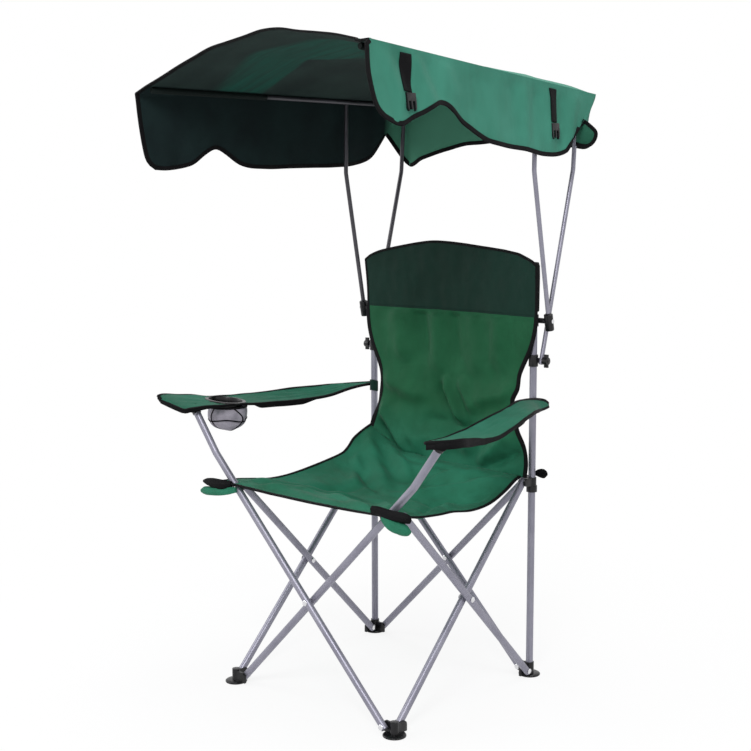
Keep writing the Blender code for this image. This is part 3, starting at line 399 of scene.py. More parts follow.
class Nodes:
    """The nodes of a material or world, added by short calls."""

    def __init__(self, tree):
        self.tree = tree

    def fill(self, node, inputs):
        for key, value in inputs.items():
            socket = node.inputs[key]
            if isinstance(value, bpy.types.NodeSocket):
                self.tree.links.new(value, socket)
            else:
                socket.default_value = (*value, 1) if socket.type == "RGBA" else value

    def add(self, kind, inputs, **settings):
        node = self.tree.nodes.new("ShaderNode" + kind)
        for key, value in settings.items():
            setattr(node, key, value)
        self.fill(node, inputs)
        return node.outputs

    def mix(self, factor, a, b, mode="MIX"):
        return self.add("Mix", {0: factor, 6: a, 7: b}, data_type="RGBA", blend_type=mode)[2]

    def maths(self, operation, a, b):
        return self.add("Math", {0: a, 1: b}, operation=operation)[0]

    def product(self, first, *others):
        for other in others:
            first = self.maths("MULTIPLY", first, other)
        return first

    def rest(self, value):
        return self.maths("SUBTRACT", 1.0, value)

    def ranged(self, value, low, high, to_low=0.0, to_high=1.0):
        inputs = {"Value": value, "From Min": low, "From Max": high, "To Min": to_low, "To Max": to_high}
        return self.add("MapRange", inputs)[0]

    def above(self, value, edge, fade):
        """1 where value is above edge, 0 below it, with a soft step fade wide."""
        return self.ranged(value, edge - fade / 2, edge + fade / 2)

    def noise(self, vector, scale, detail=3.0, roughness=0.5):
        inputs = {"Vector": vector, "Scale": scale, "Detail": detail, "Roughness": roughness}
        return self.add("TexNoise", inputs)["Fac"]

    def stretched(self, vector, *scale):
        return self.add("Mapping", {"Vector": vector, "Scale": scale})[0]

    def bumped(self, height, distance, strength, **normal):
        return self.add("Bump", {"Height": height, "Distance": distance, "Strength": strength, **normal})[0]

    def threads(self, vector, pitch, distortion=0.6, detail_scale=2.0):
        """Warp and weft with this thread pitch, from UV in metres."""
        inputs = {"Vector": vector, "Scale": 2 * math.pi / (20 * pitch), "Distortion": distortion}
        inputs.update({"Detail": 1.0, "Detail Scale": detail_scale})
        return [self.add("TexWave", inputs, bands_direction=way)["Fac"] for way in "XY"]

    def shade(self, colour, normal, roughness, **others):
        inputs = {"Base Color": colour, "Normal": normal, "Roughness": roughness}
        inputs.update({key.replace("_", " "): value for key, value in others.items()})
        self.fill(self.tree.nodes["Principled BSDF"], inputs)


def new_material(name):
    """A material, its nodes, its UV and its object coordinates."""
    material = bpy.data.materials.new(name)
    material.use_nodes = True
    m = Nodes(material.node_tree)
    coords = m.add("TexCoord", {})
    return material, m, coords["UV"], coords["Object"]


CLOTH_PITCH = 0.0009
WEBBING_PITCH = 0.0011
NET_PITCH = 0.0022


def cloth_material(name, dark, light, crumple=0.0016, higher=None):
    """Woven cloth; higher is a darker (dark, light) pair that paints shade on the higher parts, and the
    heights its change runs between.
    """
    material, m, uv, place = new_material(name)
    if higher:
        # Painted shade: the colour turns to the darker pair as the height rises
        rise = m.ranged(m.add("SeparateXYZ", {"Vector": place})["Z"], *higher[2:])
        dark, light = m.mix(rise, dark, higher[0]), m.mix(rise, light, higher[1])
    weave = m.product(*m.threads(uv, CLOTH_PITCH))
    broad = m.noise(place, 7.0, 4.0)
    soft = m.noise(m.stretched(place, 1.0, 1.0, 0.45), 26.0, 5.0, 0.6)
    tone = m.maths("ADD", m.product(broad, 0.6), m.product(soft, 0.4))
    slub = m.noise(m.stretched(uv, 30.0, 900.0, 1.0), 1.0, 2.0)
    colour = m.mix(m.ranged(tone, 0.35, 0.65), dark, light)
    colour = m.mix(m.ranged(slub, 0.3, 0.7, 0.0, 0.25), colour, dark)
    colour = m.mix(m.ranged(weave, 0.0, 1.0, 0.25, 0.0), colour, (0.45, 0.45, 0.45), "MULTIPLY")
    normal = m.bumped(soft, crumple, 0.6, Normal=m.bumped(weave, CLOTH_PITCH * 0.25, 0.6))
    m.shade(colour, normal, m.ranged(soft, 0.3, 0.7, 0.6, 0.74), Sheen_Weight=0.04, Sheen_Roughness=0.45,
            Specular_IOR_Level=0.14)
    return material


def webbing_material(name, dark, light):
    material, m, uv, _ = new_material(name)
    ribs = m.product(*m.threads(uv, WEBBING_PITCH))
    dust = m.noise(uv, 140.0, 4.0)
    colour = m.mix(m.ranged(dust, 0.3, 0.7), dark, light)
    colour = m.mix(m.ranged(ribs, 0.0, 1.0, 0.4, 0.0), colour, tuple(c * 0.4 for c in dark))
    m.shade(colour, m.bumped(ribs, WEBBING_PITCH * 0.3, 0.7), m.ranged(dust, 0.3, 0.7, 0.65, 0.8),
            Specular_IOR_Level=0.12)
    return material


def tube_material(name, dark, light):
    material, m, uv, place = new_material(name)
    broad = m.noise(place, 14.0)
    scuffs = m.noise(m.stretched(uv, 500.0, 9.0, 1.0), 1.0, 3.0, 0.6)
    colour = m.mix(m.ranged(broad, 0.35, 0.65), dark, light)
    colour = m.mix(m.ranged(scuffs, 0.6, 0.8, 0.0, 0.25), colour, tuple(c * 0.7 for c in dark))
    peel = m.bumped(m.noise(place, 90.0, 2.0), 0.00003, 0.3)
    m.shade(colour, peel, m.ranged(broad, 0.3, 0.7, 0.34, 0.44), Metallic=0.45)
    return material


def plastic_material(name, dark, light):
    material, m, _, place = new_material(name)
    cloud = m.noise(place, 60.0, 4.0)
    grain = m.bumped(m.noise(place, 1200.0, 2.0), 0.00012, 0.4)
    m.shade(m.mix(m.ranged(cloud, 0.3, 0.7), dark, light), grain, m.ranged(cloud, 0.3, 0.7, 0.2, 0.36),
            Specular_IOR_Level=0.32)
    return material


def steel_material(name, dark, light):
    material, m, _, place = new_material(name)
    spots = m.noise(place, 500.0)
    m.shade(m.mix(m.ranged(spots, 0.3, 0.7), dark, light), m.bumped(spots, 0.0001, 0.3),
            m.ranged(spots, 0.3, 0.7, 0.18, 0.32), Metallic=1.0)
    return material


def net_material(name, dark, light, holes):
    material, m, uv, _ = new_material(name)
    mesh = m.maths("MAXIMUM", *m.threads(uv, NET_PITCH, 0.4, 1.0))
    colour = m.mix(m.ranged(m.noise(uv, 60.0), 0.3, 0.7), dark, light)
    # The holes between the threads take the dark holes colour: painted shade of the net's inside seen through
    # them
    colour = m.mix(m.ranged(mesh, 0.4, 0.9, 0.55, 0.0), colour, holes)
    m.shade(colour, m.bumped(mesh, 0.0004, 0.8), 0.7, Alpha=m.ranged(mesh, 0.35, 0.6, 0.72, 1.0))
    return material


# Edges of the patch of daylight: each is where slope * x + y passes a value, with a fade
LINING_FRONT_LINES = ((0.30, -0.321, 0.030), (-0.40, -0.265, 0.030))
LINING_REAR_LINES = ((0.205, -0.161, 0.010), (-1.71, -0.009, 0.012))
LINING_INNER_EDGE = 0.13
LINING_ROOF_Z = 1.307
LINING_VALANCE_Y = 0.35
LINING_FADE = 0.03
# Painted colours of the underside: shade on the roof and the flaps, the rear valance's inside painted lighter
# as lit, and the pale daylight patch
LINING_ROOF = ((0.015, 0.026, 0.024), (0.025, 0.043, 0.038))
LINING_FLAPS = ((0.007, 0.014, 0.015), (0.011, 0.023, 0.023))
LINING_VALANCE = (0.085, 0.290, 0.190)
LINING_LIGHT = (0.014, 0.082, 0.060)


def lining_material(name):
    """The shaded underside, with the paler slanting patch that daylight makes through the cloth."""
    material, m, uv, place = new_material(name)
    split = m.add("SeparateXYZ", {"Vector": place})
    x, y, z = split["X"], split["Y"], split["Z"]

    def past(lines):
        steps = [m.above(m.maths("ADD", m.product(x, slope), y), *step) for slope, *step in lines]
        return m.product(*steps)

    roof = m.above(z, LINING_ROOF_Z, 0.004)
    inside = m.rest(m.above(x, LINING_INNER_EDGE, LINING_FADE))
    streaks = m.noise(m.stretched(place, 7.0, 90.0, 1.0), 1.0, 3.0, 0.6)
    patch = m.product(past(LINING_FRONT_LINES), m.rest(past(LINING_REAR_LINES)), inside, roof,
                      m.ranged(streaks, 0.35, 0.6, 0.45, 1.0))
    cloud = m.ranged(m.noise(place, 12.0, 4.0), 0.35, 0.65)
    shade = m.mix(roof, m.mix(cloud, *LINING_FLAPS), m.mix(cloud, *LINING_ROOF))
    rear = m.product(m.above(y, LINING_VALANCE_Y, LINING_FADE), m.rest(roof))
    colour = m.mix(patch, m.mix(rear, shade, LINING_VALANCE), LINING_LIGHT)
    weave = m.product(*m.threads(uv, CLOTH_PITCH))
    colour = m.mix(m.ranged(weave, 0.0, 1.0, 0.2, 0.0), colour, LINING_FLAPS[0])
    roughness = m.ranged(cloud, 0.0, 1.0, 0.75, 0.85)
    m.shade(colour, m.bumped(weave, 0.0002, 0.5), roughness, Specular_IOR_Level=0.1)
    return material


CANOPY_GREEN = cloth_material("Green canopy cloth", (0.036, 0.190, 0.130), (0.060, 0.280, 0.200), 0.001)
# The back of the sling is painted darker than the seat from 0.47 to 0.60 m up: painted shade on the same
# cloth
SLING_GREEN = cloth_material("Green sling cloth", (0.012, 0.122, 0.064), (0.028, 0.212, 0.126), 0.003,
                             ((0.007, 0.076, 0.030), (0.017, 0.120, 0.052), 0.47, 0.60))
CANOPY_SHADED = cloth_material("Shaded canopy cloth", (0.014, 0.095, 0.055), (0.026, 0.140, 0.090))
ARM_GREEN = cloth_material("Green armrest cloth", (0.012, 0.115, 0.066), (0.030, 0.185, 0.118))
DARK_GREEN = cloth_material("Dark green head band", (0.002, 0.020, 0.013), (0.006, 0.033, 0.023))
SLEEVE_DARK = cloth_material("Shaded sleeve cloth", (0.002, 0.006, 0.005), (0.005, 0.011, 0.010))
LINING = lining_material("Shaded canopy lining")
WEBBING = webbing_material("Black webbing", (0.0022, 0.0022, 0.0028), (0.0050, 0.0048, 0.0060))
TUBE = tube_material("Grey coated tube", (0.225, 0.220, 0.275), (0.285, 0.280, 0.340))
POLE = tube_material("Dark coated pole", (0.050, 0.048, 0.056), (0.080, 0.077, 0.090))
# Painted light and shade: the same pole takes the dark finish on the left and the grey tube's finish on the
# right
POLES_LIT_AND_SHADED = {"left": POLE, "right": TUBE}
PLASTIC = plastic_material("Black moulded plastic", (0.004, 0.004, 0.0046), (0.010, 0.010, 0.0115))
STEEL = steel_material("Bright rivet steel", (0.62, 0.62, 0.64), (0.82, 0.82, 0.84))
# The net's third colour is the painted shade seen through its holes
NET = net_material("Grey lilac net", (0.30, 0.28, 0.33), (0.46, 0.43, 0.50), (0.10, 0.09, 0.11))


def dress(obj, body, slot, *nodes):
    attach(obj, body)
    if nodes:
        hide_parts(*nodes)
    return obj


def plastic(name, bm, body, *nodes):
    return dress(from_bmesh(name, bm, PLASTIC), body, "black_plastic", *nodes)


# Tubes

def laid(across, along, square, z=0):
    """A place or way from its parts along a side of the frame and square to it."""
    return Vector((along, square, z) if across else (square, along, z))


def leg_points(across, foot_sign, plane):
    inset = foot_sign * (HALF - PIN_INSET)
    return laid(across, inset, plane, FOOT_PIN_Z), laid(across, -inset, plane, HUB_PIN_Z)


def arm_points(hub_pin, direction):
    bend = hub_pin + direction * (ARM_BEND_RISE / direction.z)
    out = math.copysign(math.sin(ARM_TILT), direction.x)
    return bend, bend + ARM_LENGTH * Vector((out, 0, math.cos(ARM_TILT)))


def arm_of(side):
    """Hub pin, bend and top of the arm tube at one side, whose leg starts at the other side."""
    sign = SIDES[side]
    foot_pin, hub_pin = leg_points(True, -sign, sign * PLANE - HALF)
    return hub_pin, *arm_points(hub_pin, (hub_pin - foot_pin).normalized())


def end_plug(name, point, way, radius):
    """A black plug just inside a tube's end, facing out along way."""
    profile = ((0, -0.003), (radius, -0.003), (radius, -0.0006), (radius * 0.8, 0), (0, 0))
    return from_bmesh(name, turned(profile, frame_along(point - way * GAP, way), 24), PLASTIC)


def build_leg(name, across, foot_sign, plane, arm):
    foot_pin, hub_pin = leg_points(across, foot_sign, plane)
    direction = (hub_pin - foot_pin).normalized()
    path = [foot_pin - direction * LEG_OVERHANG, hub_pin + direction * LEG_OVERHANG]
    if arm:
        path = rounded_path([path[0], *arm_points(hub_pin, direction)], ARM_BEND_R)
    dress(tube(name + "_tube", path, TUBE_R, TUBE_WALL, TUBE), name, "grey_tube", name)
    bore = TUBE_R - TUBE_WALL
    plug = end_plug(name + "_plug", path[0], -direction, bore)
    if not arm:
        joined(name + "_plugs", plug, end_plug(name + "_plug2", path[-1], direction, bore))
    dress(plug, name, "black_plastic")


def build_tubes():
    for end, y_sign in ENDS.items():
        for side, x_sign in SIDES.items():
            offset = x_sign * y_sign * PLANE
            build_leg(f"{end}_leg_from_{side}", True, x_sign, y_sign * (HALF - offset), end == "front")
            build_leg(f"{side}_leg_from_{end}", False, y_sign, x_sign * (HALF + offset), False)
    for side, x_sign in SIDES.items():
        post = [Vector((x_sign * HALF, HALF, z)) for z in (POST_FOOT_FLOOR + GAP, POST_TOP_Z)]
        pipe = tube(f"post_{side}_tube", post, TUBE_R, TUBE_WALL, TUBE)
        dress(pipe, f"{side}_post", "grey_tube", f"rear_post_{side}")


def rivet_head(name, point, way, radius=HEAD_R, height=HEAD_H):
    """A domed head standing on a face at point, facing out along way."""
    profile = [(radius * 0.9, 0), (radius, height * 0.25)]
    profile += [(radius * math.cos(a), height * (0.25 + 0.75 * math.sin(a))) for a in (0.5, 0.9, 1.25)]
    profile.append((0, height))
    return from_bmesh(name, turned(profile, frame_along(point, way), 24), STEEL)


def pins_at(side, end, hub):
    """Both riveted pins of a foot or hub: the outer face of the leg on each, and the way out."""
    signs = (SIDES[side], ENDS[end])
    height = HUB_PIN_Z if hub else FOOT_PIN_Z
    for across, (along, square) in ((True, signs), (False, signs[::-1])):
        outer = (signs[0] * signs[1] < 0) == across
        way = 1 if outer != hub else -1
        inset = along * (HALF - PIN_INSET)
        yield laid(across, inset, square * (HALF + way * LEG_REACH), height), laid(across, 0, square * way)


def build_rivets():
    for side in SIDES:
        for end in ENDS:
            foot = f"{side}_post" if end == "rear" else f"foot_front_{side}"
            for kind, body in (("foot", foot), ("hub", f"hub_{end}_{side}")):
                name = f"{kind}_{end}_{side}_rivet"
                heads = [rivet_head(name, *pin) for pin in pins_at(side, end, kind == "hub")]
                dress(joined(name + "s", *heads), body, "bright_steel")
    height = (FOOT_PIN_Z + HUB_PIN_Z) / 2
    crossings = [("front", True, -1, "front_leg_from_left"), ("rear", True, 1, "rear_leg_from_left")]
    crossings += [("left", False, -1, "left_leg_from_rear"), ("right", False, 1, "right_leg_from_rear")]
    for name, across, sign, body in crossings:
        node = f"{name}_crossing"
        heads = []
        for way in (-1, 1):
            point = laid(across, 0, sign * (HALF + way * LEG_REACH), height)
            heads.append(rivet_head(node + "_head", point, laid(across, 0, sign * way)))
        start = laid(across, 0, sign * (HALF - LEG_REACH), height)
        shank = ((0, 0), (PIN_R, 0), (PIN_R, 2 * LEG_REACH), (0, 2 * LEG_REACH))
        shank = turned(shank, frame_along(start, laid(across, 0, sign)), 16)
        heads.append(from_bmesh("shank", shank, STEEL))
        dress(joined(node + "_head_pair", *heads), body, "bright_steel", node + "_rivet")


# Moulded pieces

def moulded(node, body, bevel=0.0006):
    """A copy of a moulded node with its flats cleaned and its edges broken."""
    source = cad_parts[node]
    bm = bmesh.new()
    bm.from_mesh(source.data)
    bm.transform(source.matrix_world)
    bmesh.ops.remove_doubles(bm, verts=bm.verts, dist=0.00002)
    bmesh.ops.dissolve_limit(bm, angle_limit=math.radians(1), verts=bm.verts, edges=bm.edges)
    edges = [e for e in bm.edges if len(e.link_faces) == 2 and e.calc_face_angle(0) > math.radians(35)]
    bmesh.ops.bevel(bm, geom=edges, offset=bevel, segments=2, profile=0.6, affect="EDGES", clamp_overlap=True)
    bmesh.ops.recalc_face_normals(bm, faces=bm.faces)
    dress(from_bmesh(node + "_moulding", bm, PLASTIC, smooth_angle=32), body, "black_plastic", node)


def build_mouldings():
    for side in SIDES:
        moulded(f"foot_front_{side}", f"foot_front_{side}")
        moulded(f"foot_rear_{side}", f"{side}_post")
        for end in ENDS:
            moulded(f"hub_{end}_{side}", f"hub_{end}_{side}")
            moulded(f"bar_cap_{end}_{side}", f"canopy_bar_{side}", 0.0004)
        for level in ("upper", "lower"):
            moulded(f"{level}_clamp_{side}", f"{side}_post")
        moulded(f"canopy_knob_{side}", f"canopy_knob_{side}", 0.0008)
        for number in (1, 2):
            moulded(f"strap_buckle_{number}_{side}", f"canopy_bar_{side}", 0.0007)
    for node in ("arm_cap_left", "arm_cap_right", "post_cap_left", "post_cap_right"):
        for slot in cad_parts[node].material_slots:
            slot.material = PLASTIC


# Canopy frame

def bar_point(side, y, x=BAR_X, lift=0):
    """The side bar's place at y, or one beside or above it."""
    z = REAR_POLE_TOP[1] + (REAR_POLE_TOP[0] - y) * math.tan(BAR_PITCHES[side])
    return Vector((SIDES[side] * x, y, z + lift))


def build_pole(name, side, x, points):
    bottom, bend, top = [Vector((SIDES[side] * x, *point)) for point in points]
    low_way, high_way = (bend - bottom).normalized(), (top - bend).normalized()
    path = [bottom - low_way * POLE_OVERHANG, bend, top + high_way * POLE_TOP_REACH]
    path = rounded_path(path, POLE_BEND_R)
    node = f"{name}_{side}"
    dress(tube(node + "_tube", path, POLE_R, POLE_WALL, POLES_LIT_AND_SHADED[side], POLE_SIDES), node, "grey_tube", node)
    if name == "front_pole":
        r, (low, high) = POLE_END_R, POLE_END_REACH
        profile = [(POLE_R, low), (r * 0.9, low), (r, low + 0.002), (r, high - 0.003)]
        profile += [(POLE_R * 1.1, high), (POLE_R, high)]
        plastic(node + "_end", turned(profile, frame_along(bottom, low_way), 24), node)
    plug = end_plug(node + "_plug", path[0], -low_way, POLE_R - POLE_WALL)
    dress(plug, node, "black_plastic")


def build_canopy_frame():
    for side, sign in SIDES.items():
        front_top = bar_point(side, FRONT_POLE_TOP_Y)[1:]
        build_pole("front_pole", side, FRONT_POLE_X, (UPPER_PIVOT, FRONT_POLE_BEND, front_top))
        build_pole("rear_pole", side, REAR_POLE_X, (LOWER_PIVOT, REAR_POLE_BEND, REAR_POLE_TOP))
        for name, x, place, body in (
            ("upper", FRONT_POLE_X + POLE_END_R, UPPER_PIVOT, f"{side}_post"),
            ("bar", BAR_X + POLE_R, REAR_POLE_TOP, f"rear_pole_{side}"),
        ):
            point = Vector((sign * (x + GAP), *place))
            head = rivet_head(f"{name}_pivot_head_{side}", point, (sign, 0, 0), POLE_HEAD_R, POLE_HEAD_H)
            dress(head, body, "bright_steel")
        path = [bar_point(side, y) for y in (BAR_REAR_Y, CANOPY_FRONT_YS[side] + BAR_FRONT_INSET)]
        node = f"canopy_bar_{side}"
        dress(tube(node + "_tube", path, POLE_R, POLE_WALL, POLE, POLE_SIDES), node, "grey_tube", node)


# Seat

SEAT_FRONT_Y = -0.262
SEAT_FRONT_BOW = 0.012
SEAT_HALF_FRONT = 0.25
SEAT_HALF_REAR = 0.224
SEAT_REAR_Y = 0.2067
SEAT_CORNER_Z = 0.4626
SEAT_MID_SAG = 0.05
SEAT_SAG_START = 0.15
SEAT_SAG_SPAN = 0.79
SEAT_TUBE_CLEAR = 0.0015
SEAT_STEPS = 96
GORES = 4
GORE_KEEP = 0.02
GORE_LEVEL_SHARE = 0.926
GORE_RISE_SHARE = 0.377
SEAT_RIMS = {
    "left": (
        (0, 0.4626), (0.1, 0.46), (0.2, 0.4535), (0.3, 0.4465), (0.4, 0.4456), (0.5, 0.4495), (0.6, 0.456),
        (0.7, 0.4635), (0.8, 0.4735), (0.84, 0.486), (0.87, 0.501), (0.9, 0.51), (0.95, 0.5208), (1, 0.53),
    ),
    "right": (
        (0, 0.4626), (0.1, 0.452), (0.2, 0.443), (0.35, 0.435), (0.45, 0.432), (0.6, 0.4215),
        (0.75, 0.424), (0.88, 0.441), (0.96, 0.457), (1, 0.4626),
    ),
}
# Soft folds of the seat, by x and y: from, to, width and height
SEAT_FOLDS = (
    ((-0.21, -0.20), (-0.02, -0.04), 0.014, 0.0060),
    ((-0.22, -0.16), (-0.08, 0.04), 0.011, -0.0050),
    ((-0.16, -0.23), (0.02, -0.14), 0.011, 0.0040),
    ((0.21, -0.20), (0.05, -0.05), 0.014, 0.0065),
    ((0.21, -0.15), (0.12, 0.03), 0.011, -0.0050),
    ((0.22, -0.11), (0.16, 0.05), 0.010, 0.0045),
    ((0.17, -0.23), (0.02, -0.18), 0.010, 0.0040),
    ((0.18, -0.21), (0.06, -0.13), 0.007, -0.0035),
    ((-0.21, 0.18), (-0.04, 0.06), 0.013, 0.0075),
    ((-0.20, 0.13), (-0.10, 0.02), 0.010, 0.0050),
    ((-0.15, 0.19), (-0.02, 0.12), 0.010, 0.0060),
    ((-0.19, 0.10), (-0.02, 0.02), 0.008, -0.0040),
    ((0.21, 0.18), (0.03, 0.05), 0.013, 0.0070),
    ((0.21, 0.11), (0.10, 0.02), 0.011, -0.0045),
    ((0.14, 0.19), (0.02, 0.12), 0.009, 0.0050),
    ((-0.15, -0.22), (0.12, -0.225), 0.010, 0.0030),
    ((-0.10, 0.155), (0.12, 0.16), 0.011, 0.0040),
    ((-0.16, 0.04), (0.10, 0.00), 0.018, 0.0035),
)


def seat_point(across, along):
    """A point at across from -1 (left) to 1 (right), along from 0 (front) to 1 (rear)."""
    half = SEAT_HALF_FRONT + (SEAT_HALF_REAR - SEAT_HALF_FRONT) * along
    front = SEAT_FRONT_Y + SEAT_FRONT_BOW * (1 - across * across)
    sag = math.sin(math.pi * min(max((along - SEAT_SAG_START) / SEAT_SAG_SPAN, 0), 1)) ** 0.7
    rim = curve_value(SEAT_RIMS["left" if across < 0 else "right"], along)
    middle = SEAT_CORNER_Z - SEAT_MID_SAG * sag - 0.010 * (1 - along) ** 3 + 0.006 * along**6
    x = half * across
    y = front + (SEAT_REAR_Y - front) * along
    folds = sum(fold_line(x, y, *fold) for fold in SEAT_FOLDS)
    folds += ripple((x * 0.6, y * 1.8, 0), 16, 0.0048, 3)
    folds += ripple((x * 0.7, y * 1.3, 0), 36, 0.0022, 8)
    folds *= min(1, 6 * (1 - abs(across)), 8 * (1 - along) + 0.2, 8 * along + 0.2)
    return Vector((x, y, middle + (rim - middle) * abs(across) ** 2.2 + folds))


def transferred_normals(obj, whole):
    """Give a cut piece the smooth normals of the whole sheet, with its cut faces flat."""
    corners = [v.co.copy() for v in whole.vertices]
    tree = bvhtree.BVHTree.FromPolygons(corners, [tuple(p.vertices) for p in whole.polygons])
    normals = [n.vector.copy() for n in whole.vertex_normals]
    mesh = obj.data
    loops = []
    for poly in mesh.polygons:
        for index in poly.loop_indices:
            place = mesh.vertices[mesh.loops[index].vertex_index].co
            _, facing, face, _ = tree.find_nearest(place + poly.normal * CLOTH_T * 0.25)
            blended = Vector()
            if facing.dot(poly.normal) >= 0.5:
                around = whole.polygons[face].vertices
                for i, weight in zip(around, interpolate.poly_3d_calc([corners[i] for i in around], place)):
                    blended += normals[i] * weight
            loops.append(blended.normalized() if blended.length > 0 else poly.normal.copy())
    mesh.normals_split_custom_set(loops)


def sliced(obj, name, planes, whole):
    """A copy of obj cut down to the side of each plane that its normal points to, with capped cuts."""
    bm = bmesh.new()
    bm.from_mesh(obj.data)
    for point, normal in planes:
        done = bmesh.ops.bisect_plane(
            bm, geom=[*bm.verts, *bm.edges, *bm.faces], plane_co=point, plane_no=normal,
            clear_inner=True, dist=0.000001,
        )
        edges = [e for e in done["geom_cut"] if isinstance(e, bmesh.types.BMEdge) and e.is_boundary]
        if edges:
            bmesh.ops.holes_fill(bm, edges=edges, sides=0)
    if not bm.faces:
        bm.free()
        return None
    piece = from_bmesh(name, bm, *obj.data.materials, smooth_angle=80)
    transferred_normals(piece, whole)
    return piece


def gore_planes(sx, sy, index):
    """The hub of one of a quadrant's gores, the cuts that part it from the rest, and its way inward."""
    corner = Vector((sx * HALF, sy * HALF, SEAT_CORNER_Z))
    planes = [(Vector(), Vector((sx, 0, 0))), (Vector(), Vector((0, sy, 0)))]
    step = math.pi / 2 / GORES
    for edge, keep in ((index, 1), (index + 1, -1)):
        if 0 < edge < GORES:
            normal = Vector((sx * math.sin(step * edge), -sy * math.cos(step * edge), 0))
            planes.append((corner, normal * keep))
    turn = step * (index + 0.5)
    return corner, planes, Vector((-sx * math.cos(turn), -sy * math.sin(turn), 0))


def build_seat():
    steps = range(SEAT_STEPS + 1)
    rows = [[seat_point(2 * k / SEAT_STEPS - 1, i / SEAT_STEPS) for k in steps] for i in steps]
    seat = thickened(sheet_mesh("seat_whole", rows, SLING_GREEN), CLOTH_T)
    r = TUBE_R + SEAT_TUBE_CLEAR
    for side in SIDES:
        hub_pin, bend, _ = arm_of(side)
        reach = (bend - hub_pin).length
        cut_by(seat, turned(((0, 0), (r, 0), (r, reach), (0, reach)), frame_along(hub_pin, bend - hub_pin)))
    columns = list(zip(*rows))
    edges = ((rows[0], rows[2]), (columns[0], columns[2]), (columns[-1], columns[-3]))
    trim = joined("seat_trim", *[tape("seat_tape", *edge, BINDING_W, BINDING_T, WEBBING) for edge in edges])
    whole, trim_whole = seat.data.copy(), trim.data.copy()
    for (end, sy), (side, sx), index in product(ENDS.items(), SIDES.items(), range(GORES)):
        hub = f"hub_{end}_{side}"
        corner, planes, way = gore_planes(sx, sy, index)
        name = f"seat_{end}_{side}_gore_{index + 1}"
        gore = sliced(seat, name, planes, whole)
        dress(gore, hub, SLING_SLOT, *(["seat"] if name == "seat_front_left_gore_1" else []))
        hems = build_bundles(end, side) if index == 0 else []
        fold = (GORE_KEEP, way * GORE_LEVEL_SHARE + UP * GORE_RISE_SHARE, corner)
        squash(*fold, gore)
        binding = sliced(trim, name + "_binding", planes, trim_whole)
        if binding:
            hems.append(dress(binding, hub, WEBBING_SLOT))
            squash(*fold, binding)
    bpy.data.objects.remove(seat)
    bpy.data.objects.remove(trim)


# Ends of the seat cloth that stick out past their hubs: points, half width and half height at each
BUNDLES = {
    ("front", "left", "black"): (
        (-0.218, -0.256, 0.460, 0.006, 0.006), (-0.236, -0.261, 0.457, 0.009, 0.011),
        (-0.262, -0.263, 0.456, 0.009, 0.0105), (-0.288, -0.262, 0.4555, 0.007, 0.0075),
        (-0.303, -0.262, 0.455, 0.002, 0.003),
    ),
    ("front", "left", "green"): (
        (-0.205, -0.254, 0.448, 0.004, 0.006), (-0.232, -0.260, 0.443, 0.009, 0.010),
        (-0.268, -0.263, 0.437, 0.010, 0.0095), (-0.297, -0.262, 0.434, 0.008, 0.0085),
        (-0.3105, -0.262, 0.432, 0.003, 0.004),
    ),
    ("front", "right", "black"): (
        (0.195, -0.2575, 0.468, 0.004, 0.007), (0.215, -0.259, 0.467, 0.006, 0.0095),
        (0.245, -0.2605, 0.465, 0.008, 0.0105), (0.275, -0.261, 0.464, 0.008, 0.0105),
        (0.294, -0.2615, 0.464, 0.006, 0.0085), (0.301, -0.262, 0.464, 0.002, 0.004),
    ),
    ("front", "right", "green"): (
        (0.225, -0.257, 0.456, 0.006, 0.009), (0.248, -0.261, 0.448, 0.010, 0.013),
        (0.270, -0.262, 0.442, 0.011, 0.0135), (0.289, -0.262, 0.440, 0.009, 0.010),
        (0.300, -0.262, 0.440, 0.003, 0.003),
    ),
    ("rear", "right", "black"): (
        (0.236, 0.2475, 0.464, 0.003, 0.004), (0.243, 0.250, 0.466, 0.004, 0.0085),
        (0.254, 0.251, 0.467, 0.004, 0.0105), (0.262, 0.250, 0.467, 0.0035, 0.008),
        (0.267, 0.250, 0.466, 0.0015, 0.003),
    ),
}
BUNDLE_FINISHES = {"black": (WEBBING, WEBBING_SLOT), "green": (SLING_GREEN, SLING_SLOT)}
BUNDLE_SIDES = 20
BUNDLE_STEPS = 36
BUNDLE_KEEP = 0.25


def bundle(name, points, material):
    """A gathered end of cloth: a loft of rippled ovals along its points."""
    steps = range(BUNDLE_STEPS + 1)
    tables = [list(enumerate(column)) for column in zip(*points)]
    stations = [(len(points) - 1) * i / BUNDLE_STEPS for i in steps]
    sizes = [[curve_value(table, at) for table in tables] for at in stations]
    path = [Vector(size[:3]) for size in sizes]
    rings = []
    for centre, way, (_, _, _, half_width, half_height) in zip(path, directions(path), sizes):
        side = way.cross(UP).normalized()
        up = side.cross(way).normalized()
        ring = []
        for c, s in circle(BUNDLE_SIDES):
            gather = 1 + ripple((2.2 * c, 2.2 * s, centre.x * 14), 1, 0.32, 3)
            ring.append(centre + (side * half_width * c + up * half_height * s) * gather)
        rings.append(ring)
    bm = skin(rings, [0.003 * i for i in steps], 0.002, capped=True)
    return from_bmesh(name, bm, material, smooth_angle=80)


def build_bundles(end, side):
    """The gathered ends at one hub, which ride on it."""
    made = []
    for (at_end, at_side, colour), points in BUNDLES.items():
        if (at_end, at_side) == (end, side):
            material, slot = BUNDLE_FINISHES[colour]
            piece = bundle(f"seat_end_{end}_{side}_{colour}", points, material)
            made.append(dress(piece, f"hub_{end}_{side}", slot))
    squash(BUNDLE_KEEP, (1, 0, 0), (SIDES[side] * HALF, ENDS[end] * HALF, SEAT_CORNER_Z), *made)
    return made


# Back and head band

